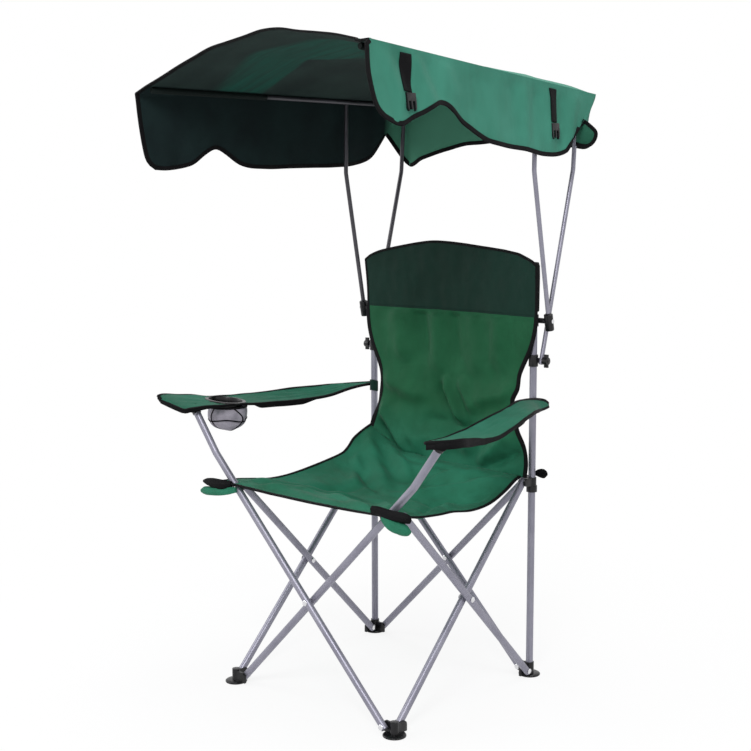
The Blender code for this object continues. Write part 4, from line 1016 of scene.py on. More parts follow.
BACK_BASE_Y = 0.2085
BACK_BASE_Z = 0.4622
BACK_Y = 0.222
BACK_BOW = 0.016
BACK_WAIST_Z = 0.635
BACK_ROWS = 110
BACK_COLUMNS = 90
BACK_KEEP = 0.159
BACK_BASE_EASE = 0.02
BAND_Z = 0.82
BAND_EASE = 0.016
BAND_ROWS = 26
BACK_LIPS = {"left": 0.0050, "right": 0.0035}
SEAM_W = 0.0018
SEAM_RISE = 0.0008
POCKET_TOP_Z = 0.9385
POCKET_PROFILE = (
    (0.0092, -0.104), (0.0104, -0.108), (0.0116, -0.106), (0.0122, -0.03), (0.0116, -0.008), (0.009, 0),
    (0, 0.001),
)
# Half widths of the back by height
BACK_EDGES = {
    "left": (
        (0.462, 0.232), (0.500, 0.231), (0.536, 0.223), (0.590, 0.204), (0.632, 0.198), (0.674, 0.202),
        (0.735, 0.229), (0.780, 0.240), (0.868, 0.2445), (0.936, 0.252),
    ),
    "right": (
        (0.462, 0.236), (0.494, 0.2365), (0.527, 0.228), (0.562, 0.206), (0.600, 0.194), (0.631, 0.191),
        (0.657, 0.204), (0.691, 0.210), (0.751, 0.238), (0.801, 0.2505), (0.868, 0.253), (0.936, 0.252),
    ),
}
HEAD_OUTLINE = (
    (-1, 0.930), (-0.93, 0.941), (-0.8, 0.953), (-0.33, 0.975), (-0.12, 0.978), (0.33, 0.970),
    (0.77, 0.958), (0.93, 0.944), (1, 0.933),
)
# Soft folds of the back, by x and z: from, to, width and height
BACK_FOLDS = (
    ((-0.010, 0.655), (0.046, 0.560), 0.009, 0.0110),
    ((-0.030, 0.640), (0.022, 0.555), 0.011, -0.0060),
    ((0.035, 0.660), (0.075, 0.590), 0.010, 0.0060),
    ((-0.200, 0.590), (-0.095, 0.468), 0.012, 0.0120),
    ((-0.215, 0.545), (-0.120, 0.470), 0.010, -0.0075),
    ((-0.150, 0.575), (-0.060, 0.480), 0.013, 0.0060),
    ((0.205, 0.570), (0.110, 0.480), 0.013, 0.0110),
    ((0.225, 0.520), (0.140, 0.475), 0.010, -0.0070),
    ((0.150, 0.585), (0.060, 0.500), 0.014, 0.0060),
    ((-0.038, 0.825), (-0.030, 0.665), 0.020, 0.0080),
    ((-0.085, 0.825), (-0.075, 0.700), 0.018, -0.0055),
    ((0.006, 0.825), (0.014, 0.690), 0.016, -0.0055),
    ((0.070, 0.825), (0.085, 0.680), 0.022, 0.0070),
    ((0.150, 0.820), (0.150, 0.700), 0.020, 0.0060),
    ((-0.160, 0.820), (-0.130, 0.700), 0.020, 0.0060),
    ((-0.200, 0.650), (-0.070, 0.610), 0.014, 0.0060),
    ((0.195, 0.650), (0.070, 0.615), 0.014, 0.0060),
    ((-0.110, 0.520), (0.100, 0.512), 0.014, 0.0055),
    ((-0.060, 0.560), (0.100, 0.545), 0.012, -0.0040),
)


def back_place(across, z):
    t = min(max((z - BACK_BASE_Z) / (BACK_WAIST_Z - BACK_BASE_Z), 0), 1)
    rise = math.sin(t * math.pi / 2)
    y = BACK_BASE_Y + (BACK_Y - BACK_BASE_Y + BACK_BOW * (1 - across * across) ** 2) * rise
    x = curve_value(BACK_EDGES["left" if across < 0 else "right"], z) * across
    inner = min(1, 7 * (1 - abs(across)))
    if z < BAND_Z:
        folds = sum(fold_line(x, z, *fold) for fold in BACK_FOLDS)
        folds += ripple((x, z * 0.6, 2), 13, 0.0060, 5)
        fade = 1 - ease(z, BAND_Z - BAND_EASE, BAND_Z)
        folds *= ease(z, BACK_BASE_Z, BACK_BASE_Z + BACK_BASE_EASE) * fade
        y -= folds * inner
    return Vector((x, y - ripple((x * 1.4, z, 0), 34, 0.0020, 11) * inner, z))


def back_rows(low, high_at, rows):
    acrosses = [2 * k / BACK_COLUMNS - 1 for k in range(BACK_COLUMNS + 1)]
    return [[back_place(a, low + (high_at(a) - low) * i / rows) for a in acrosses] for i in range(rows + 1)]


def build_back():
    rows = back_rows(BACK_BASE_Z, lambda across: BAND_Z - GAP, BACK_ROWS)
    back = thickened(sheet_mesh("back_cloth", rows, SLING_GREEN), CLOTH_T)
    dress(back, "left_post", SLING_SLOT, "back")
    columns = list(zip(*rows))
    hems = []
    for side, edge, inner in (("left", columns[0], columns[2]), ("right", columns[-1], columns[-3])):
        name = f"back_binding_{side}"
        hem = tape(name, edge, inner, BINDING_W, BINDING_T, WEBBING, lip=BACK_LIPS[side])
        hems.append(dress(hem, "left_post", WEBBING_SLOT))
    declare(rows)
    rows = back_rows(BAND_Z, lambda across: curve_value(HEAD_OUTLINE, across), BAND_ROWS)
    band = thickened(sheet_mesh("head_band_cloth", rows, DARK_GREEN), CLOTH_T)
    dress(band, "left_post", DARK_SLOT, "head_band")
    edge = [row[0] for row in rows] + rows[-1][1:-1] + [row[-1] for row in reversed(rows)]
    inner = [p + (Vector((0, p.y, 0.8)) - p).normalized() * 0.01 for p in edge]
    trim = tape("head_band_binding", edge, inner, BINDING_W * 0.8, BINDING_T, WEBBING)
    pieces = [dress(trim, "left_post", WEBBING_SLOT)]
    higher = [p + UP * 0.01 for p in rows[0]]
    seam = tape("head_band_seam", rows[0], higher, SEAM_W, CLOTH_T + SEAM_RISE, DARK_GREEN)
    pieces.append(dress(seam, "left_post", DARK_SLOT))
    for side, sign in SIDES.items():
        pocket = turned(POCKET_PROFILE, Matrix.Translation((sign * HALF, HALF, POCKET_TOP_Z)))
        pocket = from_bmesh(f"head_pocket_{side}", pocket, WEBBING)
        pieces.append(dress(pocket, "left_post", WEBBING_SLOT))
    declare(rows)
    squash(BACK_KEEP, (1, 0, 0), (-HALF, HALF, BAND_Z), back, band, *hems, *pieces)


# Armrests and cup holder

ARMREST_T = 0.0045
ARMREST_POST_Z = 0.63
ARMREST_ANCHOR_Z = 0.626
ARMREST_KEEP = 0.03
ARMREST_ROWS = 100
ARMREST_COLUMNS = 20
ARMREST_TAPE_W = 0.0045
ARMREST_TAPE_RISE = 0.0012
# Along each armrest: y, then x and z of its inner edge, then of its outer edge
ARMREST_EDGES = {
    "left": (
        (-0.310, 0.386, 0.6340, 0.397, 0.6430), (-0.302, 0.358, 0.6240, 0.4015, 0.6430),
        (-0.292, 0.3325, 0.6150, 0.406, 0.6428), (-0.275, 0.328, 0.6150, 0.413, 0.6405),
        (-0.257, 0.3245, 0.6155, 0.4178, 0.6380), (-0.235, 0.319, 0.6165, 0.4165, 0.6350),
        (-0.205, 0.312, 0.6160, 0.409, 0.6310), (-0.155, 0.308, 0.6140, 0.3995, 0.6225),
        (-0.105, 0.303, 0.6105, 0.392, 0.6195), (-0.045, 0.304, 0.6050, 0.383, 0.6180),
        (0.010, 0.302, 0.6015, 0.369, 0.6190), (0.075, 0.293, 0.6005, 0.351, 0.6215),
        (0.125, 0.276, 0.6060, 0.326, 0.6240), (0.170, 0.260, 0.6170, 0.299, 0.6255),
        (0.205, 0.248, 0.6230, 0.273, 0.6270), (0.2355, 0.240, 0.6250, 0.250, 0.6280),
    ),
    "right": (
        (-0.310, 0.378, 0.6330, 0.402, 0.6370), (-0.300, 0.366, 0.6290, 0.425, 0.6400),
        (-0.270, 0.350, 0.6245, 0.432, 0.6395), (-0.230, 0.330, 0.6190, 0.420, 0.6330),
        (-0.190, 0.316, 0.6155, 0.408, 0.6265), (-0.155, 0.310, 0.6150, 0.400, 0.6195),
        (-0.100, 0.303, 0.6190, 0.392, 0.6165), (-0.050, 0.304, 0.6287, 0.385, 0.6215),
        (-0.010, 0.304, 0.6360, 0.376, 0.6275), (0.030, 0.299, 0.6415, 0.364, 0.6310),
        (0.075, 0.290, 0.6466, 0.349, 0.6335), (0.115, 0.278, 0.6484, 0.330, 0.6300),
        (0.160, 0.266, 0.6459, 0.306, 0.6240), (0.200, 0.256, 0.6418, 0.279, 0.6170),
        (0.2355, 0.2485, 0.6375, 0.258, 0.6116), (0.262, 0.248, 0.6320, 0.2505, 0.6114),
        (0.278, 0.247, 0.6235, 0.248, 0.6130),
    ),
}
# Stretches of each armrest's near edge that show black: from y, to y, lead in, fade out, depth
ARMREST_BLACK_EDGES = {
    "left": ((-0.312, -0.185, 0.002, 0.08, 0.0045), (-0.080, 0.095, 0.03, 0.05, 0.008)),
    "right": ((-0.312, -0.050, 0.002, 0.20, 0.013), (-0.020, 0.020, 0.01, 0.01, 0.002)),
}
ARMREST_FRONT_DEPTHS = {"left": 0.0065, "right": 0.014}
EDGE_STRIP_T = 0.003
EDGE_STRIP_RISE = 0.0015
LOOP_STEPS = 48
LOOP_R = 0.0102
LOOP_BACK = 0.0105
LOOP_T = 0.0016
LOOP_SLOPE = 0.006
LOOP_REACHES = {"left": 0.012, "right": 0.040}
# Painted shade: the left loop is given the darker head band cloth, the right one the armrest cloth
LOOP_CLOTHS = {"left": DARK_GREEN, "right": ARM_GREEN}
LOOP_HALF_HEIGHT = 0.013
ARM_POCKET_PROFILE = (
    (0.0102, 0), (0.0102, -0.006), (0.0112, -0.0065), (0.0122, -0.004), (0.012, 0.001), (0.0085, 0.0062),
    (0, 0.0075),
)
CUP_Y = -0.148
CUP_BORE_R = 0.039
CUP_NECK_R = 0.0412
CUP_FLANGE_R = 0.0475
CUP_FLANGE_T = 0.003
CUP_NECK_H = 0.012
NET_H = 0.055
NET_T = 0.0012
NET_RIM_R = 0.0428
NET_SHIFT = (0.004, 0.004, 0)
NET_SHARES = (
    (0, 1), (0.25, 1.04), (0.5, 1), (0.7, 0.92), (0.85, 0.74), (0.94, 0.48), (0.985, 0.2), (1, 0.02),
)
NET_ROWS = 30
NET_COLUMNS = 72
NET_SEAM_T = 0.0024
NET_SEAM_LIP = 0.0006
NET_SEAM_OUT = 0.0009
NET_SEAM_STEPS = 24
# Seams round the net: share of its height, wave and width; and down it: angle and bend
NET_ROUND_SEAMS = ((0.02, 0, 0.0035), (0.55, 0.06, 0.0022))
NET_DOWN_SEAMS = ((-0.45, 0.5), (-1.5, -0.35), (1.2, 0.4), (3.4, 0.3))


def armrest_point(side, y, across):
    """A point of an armrest at y, across from -1 (inner edge) to 1 (outer edge)."""
    ys, *columns = zip(*ARMREST_EDGES[side])
    inner_x, inner_z, outer_x, outer_z = [curve_value(list(zip(ys, column)), y) for column in columns]
    share = (across + 1) / 2
    dip = 0.0022 * (1 - across * across) * ease(y, -0.28, -0.2) * (1 - ease(y, 0.1, 0.2))
    wave = ripple((across * 0.5, y * 2.5, SIDES[side]), 9, 0.0016, 4)
    wave *= (1 - ease(y, 0.15, 0.22)) * ease(y, -0.31, -0.26)
    x = inner_x + (outer_x - inner_x) * share
    return Vector((SIDES[side] * x, y, inner_z + (outer_z - inner_z) * share - dip + wave))


def arm_squash(sign, *pieces):
    way = Vector((-sign * 0.125, 0.396, 0.182)).normalized()
    squash(ARMREST_KEEP, way, (sign * HALF, HALF, ARMREST_ANCHOR_Z), *pieces)


def cup_frame():
    """The cup holder's place on the left armrest, with its axis square to the cloth."""
    across = armrest_point("left", CUP_Y, 0.9) - armrest_point("left", CUP_Y, -0.9)
    along = armrest_point("left", CUP_Y + 0.04, 0) - armrest_point("left", CUP_Y - 0.04, 0)
    up = across.cross(along).normalized()
    return frame_along(armrest_point("left", CUP_Y, 0), up if up.z > 0 else -up)


def edge_strip(places, depths):
    """Black webbing that hangs from an edge, as deep at each place as depths says."""
    rows = [[p + UP * EDGE_STRIP_RISE, p - UP * 0.5 * d, p - UP * d] for p, d in zip(places, depths)]
    return thickened(sheet_mesh("armrest_edge", rows, WEBBING), EDGE_STRIP_T)


def armrest_hems(side, rows):
    edge = [row[0] for row in reversed(rows)] + rows[0][1:-1] + [row[-1] for row in rows]
    middle = [rows[max(i, 4)][ARMREST_COLUMNS // 2] for i in range(len(rows))]
    inner = middle[::-1] + [middle[0]] * (ARMREST_COLUMNS - 1) + middle
    name = f"armrest_{side}_binding"
    hems = [tape(name, edge, inner, ARMREST_TAPE_W, ARMREST_T + ARMREST_TAPE_RISE, WEBBING)]
    near = [row[0 if side == "left" else -1] for row in rows]
    for low, high, lead, fade, deepest in ARMREST_BLACK_EDGES[side]:
        places = [p for p in near if low - lead <= p.y <= high]
        fades = [(1 - ease(p.y, high - fade, high)) * ease(p.y, low - lead, low) for p in places]
        hems.append(edge_strip(places, [0.002 + deepest * share for share in fades]))
    front = [p + Vector((0, 0.001, 0)) for p in rows[0]]
    hems.append(edge_strip(front, [ARMREST_FRONT_DEPTHS[side]] * len(front)))
    return joined(name, *hems)


def build_loop(side):
    """The strip's end, sewn round the rear post as a flattened sleeve."""
    rows = []
    for i in range(9):
        row = []
        for k in range(LOOP_STEPS + 1):
            a = 2 * math.pi * k / LOOP_STEPS
            back = 0.5 + 0.5 * math.sin(a)
            narrow = 1 - 0.75 * ease(back, 0.45, 1.0)
            half_height = LOOP_HALF_HEIGHT * (1 - 0.45 * ease(back, 0.4, 1.0))
            x = SIDES[side] * (HALF + LOOP_R * math.cos(a) * narrow)
            y = HALF - LOOP_BACK + (LOOP_REACHES[side] + LOOP_BACK) * back
            z = ARMREST_POST_Z - LOOP_SLOPE - LOOP_SLOPE * back + half_height * (1 - i / 4)
            row.append(Vector((x, y, z)))
        rows.append(row)
    return thickened(sheet_mesh(f"armrest_{side}_loop", rows, LOOP_CLOTHS[side]), LOOP_T)


def build_armrest(side):
    body = f"{side}_post"
    low, high = ARMREST_EDGES[side][0][0], ARMREST_EDGES[side][-1][0]
    ys = [low + (high - low) * i / ARMREST_ROWS for i in range(ARMREST_ROWS + 1)]
    acrosses = [2 * k / ARMREST_COLUMNS - 1 for k in range(ARMREST_COLUMNS + 1)]
    rows = [[armrest_point(side, y, across) for across in acrosses] for y in ys]
    rest = thickened(sheet_mesh(f"armrest_{side}_cloth", rows, ARM_GREEN), ARMREST_T)
    hole = 0
    if side == "left":
        r = CUP_NECK_R + GAP
        cut_by(rest, turned(((0, -0.02), (r, -0.02), (r, 0.02), (0, 0.02)), cup_frame(), 64))
        rest.data.set_sharp_from_angle(angle=math.radians(60))
        hole = math.pi * CUP_NECK_R**2
    dress(rest, body, SLING_SLOT, f"armrest_{side}")
    hem = dress(armrest_hems(side, rows), body, WEBBING_SLOT)
    loop = dress(build_loop(side), body, SLING_SLOT)
    _, bend, top = arm_of(side)
    # The black sleeve that the arm tube's cap goes up into
    pocket = turned(ARM_POCKET_PROFILE, frame_along(top, (top - bend).normalized()))
    pocket = dress(from_bmesh(f"armrest_{side}_pocket", pocket, WEBBING), body, WEBBING_SLOT)
    declare(rows, hole=hole)
    arm_squash(SIDES[side], rest, hem, loop, pocket)


def build_cup():
    place = cup_frame()
    bore, neck, flange, top = CUP_BORE_R, CUP_NECK_R, CUP_FLANGE_R, CUP_FLANGE_T
    profile = [(bore, -CUP_NECK_H), (bore, top * 0.6), (bore + 0.0008, top), (flange - 0.0016, top)]
    profile += [(flange - 0.0004, top * 0.75), (flange, top * 0.3), (flange - 0.0004, 0), (neck, 0)]
    profile += [(neck, -CUP_NECK_H), (bore, -CUP_NECK_H)]
    lift = Matrix.Translation((0, 0, ARMREST_T / 2 + GAP))
    ring = plastic("cup_ring_moulding", turned(profile, place @ lift, 96), "left_post", "cup_ring")
    centre = place.translation + Vector(NET_SHIFT)
    top_z = centre.z + ARMREST_T / 2 - CUP_NECK_H

    def net_point(turn, share, out=0):
        r = NET_RIM_R * curve_value(NET_SHARES, share) + out
        lumps = 0.0022 * math.sin(5 * turn + 1) + 0.0011 * math.sin(9 * turn)
        r += lumps * math.sin(math.pi * min(share * 1.1, 1))
        drop = NET_H * share - 0.0015 * math.sin(3 * turn) * share
        return Vector((centre.x + r * math.cos(turn), centre.y + r * math.sin(turn), top_z - drop))

    turns = [2 * math.pi * k / NET_COLUMNS for k in range(NET_COLUMNS + 1)]
    rows = [[net_point(turn, i / NET_ROWS) for turn in turns] for i in range(NET_ROWS + 1)]
    net = sheet_mesh("cup_net_cloth", rows, NET)
    bm = bmesh.new()
    bm.from_mesh(net.data)
    bmesh.ops.remove_doubles(bm, verts=bm.verts, dist=0.00003)
    bm.to_mesh(net.data)
    bm.free()
    net = dress(thickened(net, NET_T), "left_post", "grey_net", "cup_net")
    seams = []
    for share, wave, width in NET_ROUND_SEAMS:
        points = [net_point(t, share + wave * math.sin(3 * t + 0.9), NET_SEAM_OUT) for t in turns[:-1]]
        inner = [p + UP * 0.01 for p in points]
        seams.append(tape("cup_seam", points, inner, width, NET_SEAM_T, WEBBING, True, NET_SEAM_LIP))
    for angle, bend in NET_DOWN_SEAMS:
        points, inner = [], []
        for i in range(NET_SEAM_STEPS + 1):
            t = 0.02 + 0.98 * i / NET_SEAM_STEPS
            turn = angle + bend * math.sin(math.pi * t)
            points.append(net_point(turn, t, NET_SEAM_OUT))
            inner.append(points[-1] + Vector((-math.sin(turn), math.cos(turn), 0)) * 0.01)
        seams.append(tape("cup_seam", points, inner, SEAM_W, NET_SEAM_T, WEBBING, lip=NET_SEAM_LIP))
    seam = dress(joined("cup_net_seams", *seams), "left_post", WEBBING_SLOT)
    declare(rows)
    arm_squash(-1, ring, net, seam)


# Canopy cloth

ROOF_ROWS = 90
ROOF_COLUMNS = 112
ROOF_FLAT = (0.60, 0.79)
SKIRT_ROWS = 20
FLAP_FOLD_DEPTH = 0.6
# Soft folds of the right flap, by y and drop: from, to, width and height
FLAP_FOLDS = (
    ((-0.342, 0), (-0.281, 0.110), 0.013, 0.0040),
    ((-0.305, 0), (-0.255, 0.080), 0.012, -0.0040),
    ((-0.245, 0), (-0.200, 0.100), 0.013, 0.0036),
    ((-0.218, 0.005), (-0.168, 0.090), 0.012, -0.0034),
    ((-0.160, 0.010), (-0.112, 0.080), 0.015, 0.0026),
    ((-0.054, 0.010), (-0.070, 0.110), 0.026, -0.0022),
    ((0.069, 0.005), (0.081, 0.140), 0.018, -0.0034),
    ((0.115, 0.005), (0.112, 0.140), 0.015, 0.0034),
    ((0.155, 0.005), (0.140, 0.140), 0.014, -0.0034),
    ((0.195, 0.005), (0.205, 0.140), 0.015, 0.0030),
    ((0.250, 0.005), (0.240, 0.140), 0.015, -0.0040),
    ((0.310, 0.005), (0.290, 0.130), 0.015, 0.0034),
)
TAB_OUTLINE = (
    (0.2766, 1.2490), (0.2869, 1.2497), (0.2999, 1.2439), (0.3155, 1.2327), (0.3284, 1.2217),
    (0.3287, 1.2088), (0.3214, 1.1962), (0.3088, 1.1878), (0.2934, 1.1882), (0.2751, 1.1929),
)
TAB_CENTRE = Vector((0.29, 0.33, 1.22))
TAB_W = 0.006
STRAP_W = 0.028
STRAP_T = 0.0016
STRAP_YS = (-0.272, 0.214)
STRAP_TOP_DROP = 0.01
STRAP_BOTTOM_DROP = 0.08
STRAP_ROWS = 24
STRAP_COLUMNS = 8
SLEEVE_FRONT_INSET = 0.014
SLEEVE_REAR_YS = {"left": -0.094, "right": -0.250}


def crease(side, s):
    """The fold between roof and flap, s from 0 (front) to 1 (rear)."""
    front = CANOPY_FRONT_YS[side]
    lift = CREASE_FRONT_LIFT_RIGHT * (1 - s) if side == "right" else -CREASE_FRONT_DROOP_LEFT * (1 - s) ** 4
    x = CREASE_X + CREASE_FLARE * (1 - s)
    return bar_point(side, front + (CANOPY_REAR_Y - front) * s, x, CREASE_LIFT + lift)


def crown_point(across, s):
    """A point of the roof at across from 0 (left) to 1 (right), s from 0 (front) to 1 (rear)."""
    left, right = [crease(side, s) for side in SIDES]
    ends = zip(SIDES, (left, right))
    over_left, over_right = [bar_point(side, end.y, lift=ROOF_LIFT) for side, end in ends]
    column = across * CANOPY_COLUMNS
    if column < 1:
        return left.lerp(over_left, column)
    if column > CANOPY_COLUMNS - 1:
        return over_right.lerp(right, column - CANOPY_COLUMNS + 1)
    share = (column - 1) / (CANOPY_COLUMNS - 2)
    point = over_left.lerp(over_right, share)
    inside = min(1, 8 * share, 8 * (1 - share)) * min(1, 6 * s + 0.2, 6 * (1 - s) + 0.2)
    point.z += CANOPY_ARCH * even_value(CANOPY_ARCH_SHARES, share)
    point.z += ripple((point.x * 0.5, point.y * 1.4, 0), 7, 0.003, 2) * inside
    return point


def skirt_point(edge, s, drop_share):
    """A point of a flap or the valance, at s along its top edge and a share of the way down."""
    fall = drop_share**FALL_SHARE
    drop = SIDE_DROP * even_value(DROP_SHARES[edge], s) * drop_share
    if edge == "rear":
        side = "left" if s < 0.5 else "right"
        inner = min(1, s * CANOPY_COLUMNS, (1 - s) * CANOPY_COLUMNS)
        back = VALANCE_SPLAY * inner - CORNER_TUCKS[side] * (1 - inner)
        out = Vector((SIDES[side] * FLAP_SPLAY * (1 - inner), back, 0))
        wave = ripple((s * 6, drop_share * 0.6, 9), 2.2, 0.006, 6) * fall * inner
        return crown_point(s, 1) + out * fall + Vector((0, wave, -drop))
    place = crease(edge, s)
    sign = SIDES[edge]
    cut_back = curve_value(FLAP_FRONT_CUTS[edge], drop_share) * max(0, 1 - s * 6) ** 1.5
    along = -CORNER_TUCKS[edge] * max(0, s * 6 - 5)
    wave = ripple((s * 9, drop_share * 0.5, 3), 2.0, 0.0065, 7 + sign)
    wave *= fall * min(1, 6 * (1 - s), 4 * s + 0.3)
    if edge == "right":
        fade = min(1, 5 * drop_share, 4 * (1.1 - drop_share)) * min(1, 8 * s, 8 * (1 - s))
        wave += sum(fold_line(place.y, drop, *fold) for fold in FLAP_FOLDS) * FLAP_FOLD_DEPTH * fade
    return place + Vector((sign * FLAP_SPLAY, along, 0)) * fall + Vector((sign * wave, cut_back, -drop))


def build_tab():
    """The valance's rounded end, that stands out behind the right flap, with its binding."""
    loop = [Vector((x, TAB_CENTRE.y, z)) for x, z in TAB_OUTLINE]
    for _ in range(2):
        cuts = [a.lerp(b, share) for a, b in zip(loop, loop[1:]) for share in (0.25, 0.75)]
        loop = loop[:1] + cuts + loop[-1:]
    bm = bmesh.new()
    uv = bm.loops.layers.uv.new("UVMap")
    middle = bm.verts.new(TAB_CENTRE)
    rim = [bm.verts.new(p) for p in loop]
    for a, b in zip(rim, rim[1:] + rim[:1]):
        for corner in bm.faces.new((middle, a, b)).loops:
            corner[uv].uv = corner.vert.co.xz
    bmesh.ops.recalc_face_normals(bm, faces=bm.faces)
    tab = thickened(from_bmesh("canopy_tab", bm, CANOPY_SHADED), CLOTH_T)
    return joined("canopy_tab", tab, tape("tab_tape", loop, [TAB_CENTRE] * len(loop), TAB_W, TAPE_T, WEBBING))


def canopy_hem(levels):
    """One tape down the left flap's front, along every lower edge, and up the right flap's front."""
    last, low = len(levels[0]) - 1, SKIRT_ROWS
    places = [(r, 0) for r in range(low)] + [(low, k) for k in range(last + 1)]
    places += [(r, last) for r in reversed(range(low))]
    hem = [levels[r][k] for r, k in places]
    inner = []
    for (r, k), point, way in zip(places, hem, directions(hem)):
        across = levels[r][min(k + 1, last)] - levels[r][max(k - 1, 0)]
        upward = levels[max(r - 1, 0)][k] - levels[min(r + 1, low)][k]
        into = across.cross(upward).cross(way).normalized()
        inside = levels[max(r - 4, 0)][min(max(k, 4), last - 4)] - point
        inner.append(point + into * math.copysign(1, into.dot(inside)))
    return tape("canopy_hem_tape", hem, inner, TAPE_W, TAPE_T, WEBBING)


def build_canopy():
    bm = bmesh.new()
    uv = bm.loops.layers.uv.new("UVMap")
    flat = {}

    def vert(place, at):
        made = bm.verts.new(place)
        flat[made] = at
        return made

    shares = [i / ROOF_COLUMNS for i in range(ROOF_COLUMNS + 1)]
    steps = [j / ROOF_ROWS for j in range(ROOF_ROWS + 1)]
    wide, deep = ROOF_FLAT
    roof = [[vert(crown_point(a, s), ((a - 0.5) * wide, s * deep)) for a in shares] for s in steps]
    edge = [("left", s, row[0]) for s, row in zip(steps[:-1], roof)]
    edge += [("rear", a, top) for a, top in zip(shares, roof[-1])]
    edge += [("right", s, row[-1]) for s, row in reversed(list(zip(steps[:-1], roof)))]
    above = [top for _, _, top in edge]
    levels = [[top.co.copy() for top in above]]
    for r in range(1, SKIRT_ROWS + 1):
        depth = SIDE_DROP * r / SKIRT_ROWS
        shifts = {"left": (-depth, 0), "right": (depth, 0), "rear": (0, depth)}
        levels.append([skirt_point(name, s, r / SKIRT_ROWS) for name, s, _ in edge])
        below = []
        for (name, _, top), place in zip(edge, levels[-1]):
            below.append(vert(place, (flat[top][0] + shifts[name][0], flat[top][1] + shifts[name][1])))
        for k in range(len(edge) - 1):
            bm.faces.new((above[k], above[k + 1], below[k + 1], below[k]))
        above = below
    for lower, upper in zip(roof, roof[1:]):
        for i in range(ROOF_COLUMNS):
            bm.faces.new((lower[i], lower[i + 1], upper[i + 1], upper[i]))
    bmesh.ops.recalc_face_normals(bm, faces=bm.faces)
    if roof[ROOF_ROWS // 2][ROOF_COLUMNS // 2].link_faces[0].normal.z < 0:
        bmesh.ops.reverse_faces(bm, faces=bm.faces)
    for face in bm.faces:
        for loop in face.loops:
            loop[uv].uv = flat[loop.vert]
    area = sum(face.calc_area() for face in bm.faces)
    canopy = from_bmesh("canopy_cloth", bm, CANOPY_GREEN, LINING, smooth_angle=80)
    canopy = dress(thickened(canopy, CLOTH_T, lining=1), "canopy_bar_left", SLING_SLOT, "canopy")
    front, front_inner = [[crown_point(a, s) for a in shares] for s in (0, 2 / ROOF_ROWS)]
    tapes = [tape("canopy_front_tape", front, front_inner, TAPE_W, TAPE_T, WEBBING)]
    tapes += [canopy_hem(levels), build_tab()]
    trim = dress(joined("canopy_binding", *tapes), "canopy_bar_left", WEBBING_SLOT)
    arches = [reaches([crown_point(i / 56, s) for i in range(57)])[-1] for s in (0, 0.5, 1)]
    squash(CANOPY_KEEP, (1, 0, 0), (-0.2916, 0, 1.3), canopy, trim)


def strap_place(side, y, drop, out):
    front = CANOPY_FRONT_YS[side]
    s = (y - front) / (CANOPY_REAR_Y - front)
    whole = SIDE_DROP * even_value(DROP_SHARES[side], s)
    return skirt_point(side, s, drop / whole) + Vector((SIDES[side] * out, 0, 0))


def build_straps():
    out = CLOTH_T / 2 + GAP * 2 + STRAP_T / 2
    rise = STRAP_BOTTOM_DROP - STRAP_TOP_DROP
    drops = [STRAP_TOP_DROP + rise * i / STRAP_ROWS for i in range(STRAP_ROWS + 1)]
    offsets = [STRAP_W * (c / STRAP_COLUMNS - 0.5) for c in range(STRAP_COLUMNS + 1)]
    for side in SIDES:
        for number, y in enumerate(STRAP_YS, 1):
            rows = [[strap_place(side, y + offset, drop, out) for offset in offsets] for drop in drops]
            strap = thickened(sheet_mesh(f"strap_{number}_{side}_webbing", rows, WEBBING), STRAP_T)
            dress(strap, f"canopy_bar_{side}", WEBBING_SLOT, f"canopy_strap_{number}_{side}")


def build_sleeves():
    """The cloth sleeves that hold the front of the side bars against the roof."""
    outer, inner = POLE_R + 0.0016, POLE_R + 0.0004
    for side, end in SLEEVE_REAR_YS.items():
        start, stop = bar_point(side, CANOPY_FRONT_YS[side] + SLEEVE_FRONT_INSET), bar_point(side, end)
        length = (stop - start).length
        profile = [(0, 0), (outer * 0.8, 0), (outer, 0.002), (outer, length), (inner, length)]
        sleeve = turned([*profile, (inner, length - 0.01)], frame_along(start, stop - start), 24)
        dress(from_bmesh(f"bar_sleeve_{side}", sleeve, SLEEVE_DARK), f"canopy_bar_{side}", DARK_SLOT)


# Stage

FLOOR_SIZE = 30
FLOOR_Z = -0.0005
FLOOR_GLOW = 0.85
FLOOR_COLOUR = (0.9, 0.9, 0.9)
SHADOW_REACH = (0.4, 1.3)
WHITE = (1.0, 1.0, 1.0)
SKY_COLOUR = (0.56, 0.56, 0.57)
LIGHT_AIM = Vector((0, 0, 0.7))
# Name, place, size and power
LIGHTS = (
    ("Key", (1.6, -2.6, 3.0), 1.0, 72.0),
    ("Left", (-2.6, -1.4, 2.2), 1.6, 30.0),
    ("Top", (0.3, 0.4, 3.6), 2.0, 40.0),
)


def seen_directly(m):
    """1 for what the camera sees, also in a reflection or through glass."""
    rays = m.add("LightPath", {})
    mirrored = m.maths("MAXIMUM", rays["Is Glossy Ray"], rays["Is Transmission Ray"])
    return m.maths("MAXIMUM", rays["Is Camera Ray"], mirrored)


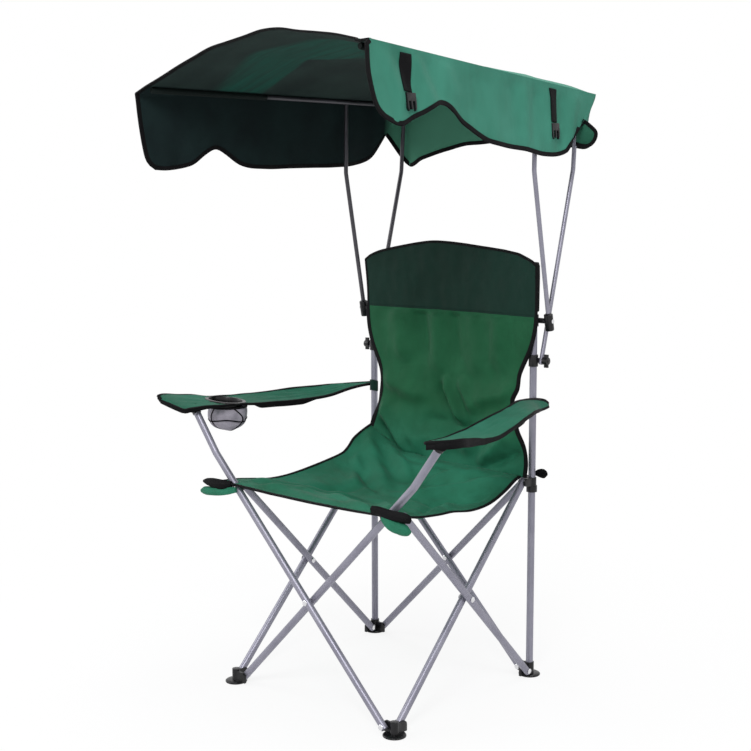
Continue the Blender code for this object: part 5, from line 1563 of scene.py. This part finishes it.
def build_stage():
    scene = bpy.context.scene
    bpy.ops.mesh.primitive_plane_add(size=FLOOR_SIZE, location=(0, 0, FLOOR_Z))
    floor = bpy.context.object
    floor.name = "floor"
    material, m, _, place = new_material("Pale floor")
    shader = m.tree.nodes["Principled BSDF"]
    m.fill(shader, {"Base Color": FLOOR_COLOUR, "Roughness": 0.9})
    glow = m.add("Emission", {"Color": WHITE, "Strength": 1.0})[0]
    away = m.add("VectorMath", {0: place}, operation="LENGTH")["Value"]
    share = m.product(seen_directly(m), m.ranged(away, *SHADOW_REACH, FLOOR_GLOW, 1.0))
    mix = m.add("MixShader", {0: share, 1: shader.outputs[0], 2: glow})[0]
    m.fill(m.tree.nodes["Material Output"], {"Surface": mix})
    floor.data.materials.append(material)
    scene.world = bpy.data.worlds.new("Studio")
    scene.world.use_nodes = True
    m = Nodes(scene.world.node_tree)
    m.fill(m.tree.nodes["Background"], {"Color": m.mix(seen_directly(m), SKY_COLOUR, WHITE), "Strength": 1.0})
    for name, place, size, power in LIGHTS:
        light = bpy.data.lights.new(name, "AREA")
        light.energy = power
        light.size = size
        lamp = bpy.data.objects.new(name, light)
        scene.collection.objects.link(lamp)
        lamp.location = place
        lamp.rotation_euler = (LIGHT_AIM - Vector(place)).to_track_quat("-Z", "Y").to_euler()
    scene.view_settings.view_transform = "Standard"


def build_camera():
    data = bpy.data.cameras.new("Camera")
    data.lens = CAMERA_LENS
    data.sensor_width = 36
    camera = bpy.data.objects.new("Camera", data)
    bpy.context.scene.collection.objects.link(camera)
    level = math.cos(CAMERA_PITCH)
    flat_look = Vector((-math.sin(CAMERA_AZIMUTH), math.cos(CAMERA_AZIMUTH), 0))
    look = flat_look * level - UP * math.sin(CAMERA_PITCH)
    turn = look.to_track_quat("-Z", "Y").to_matrix().to_4x4() @ Matrix.Rotation(CAMERA_ROLL, 4, "Z")
    camera.matrix_world = Matrix.Translation(CAMERA_PLACE) @ turn
    bpy.context.scene.camera = camera


build_camera()
build_stage()
build_tubes()
build_rivets()
build_mouldings()
build_canopy_frame()
build_seat()
build_back()
for armrest_side in SIDES:
    build_armrest(armrest_side)
build_cup()
build_canopy()
build_straps()
build_sleeves()
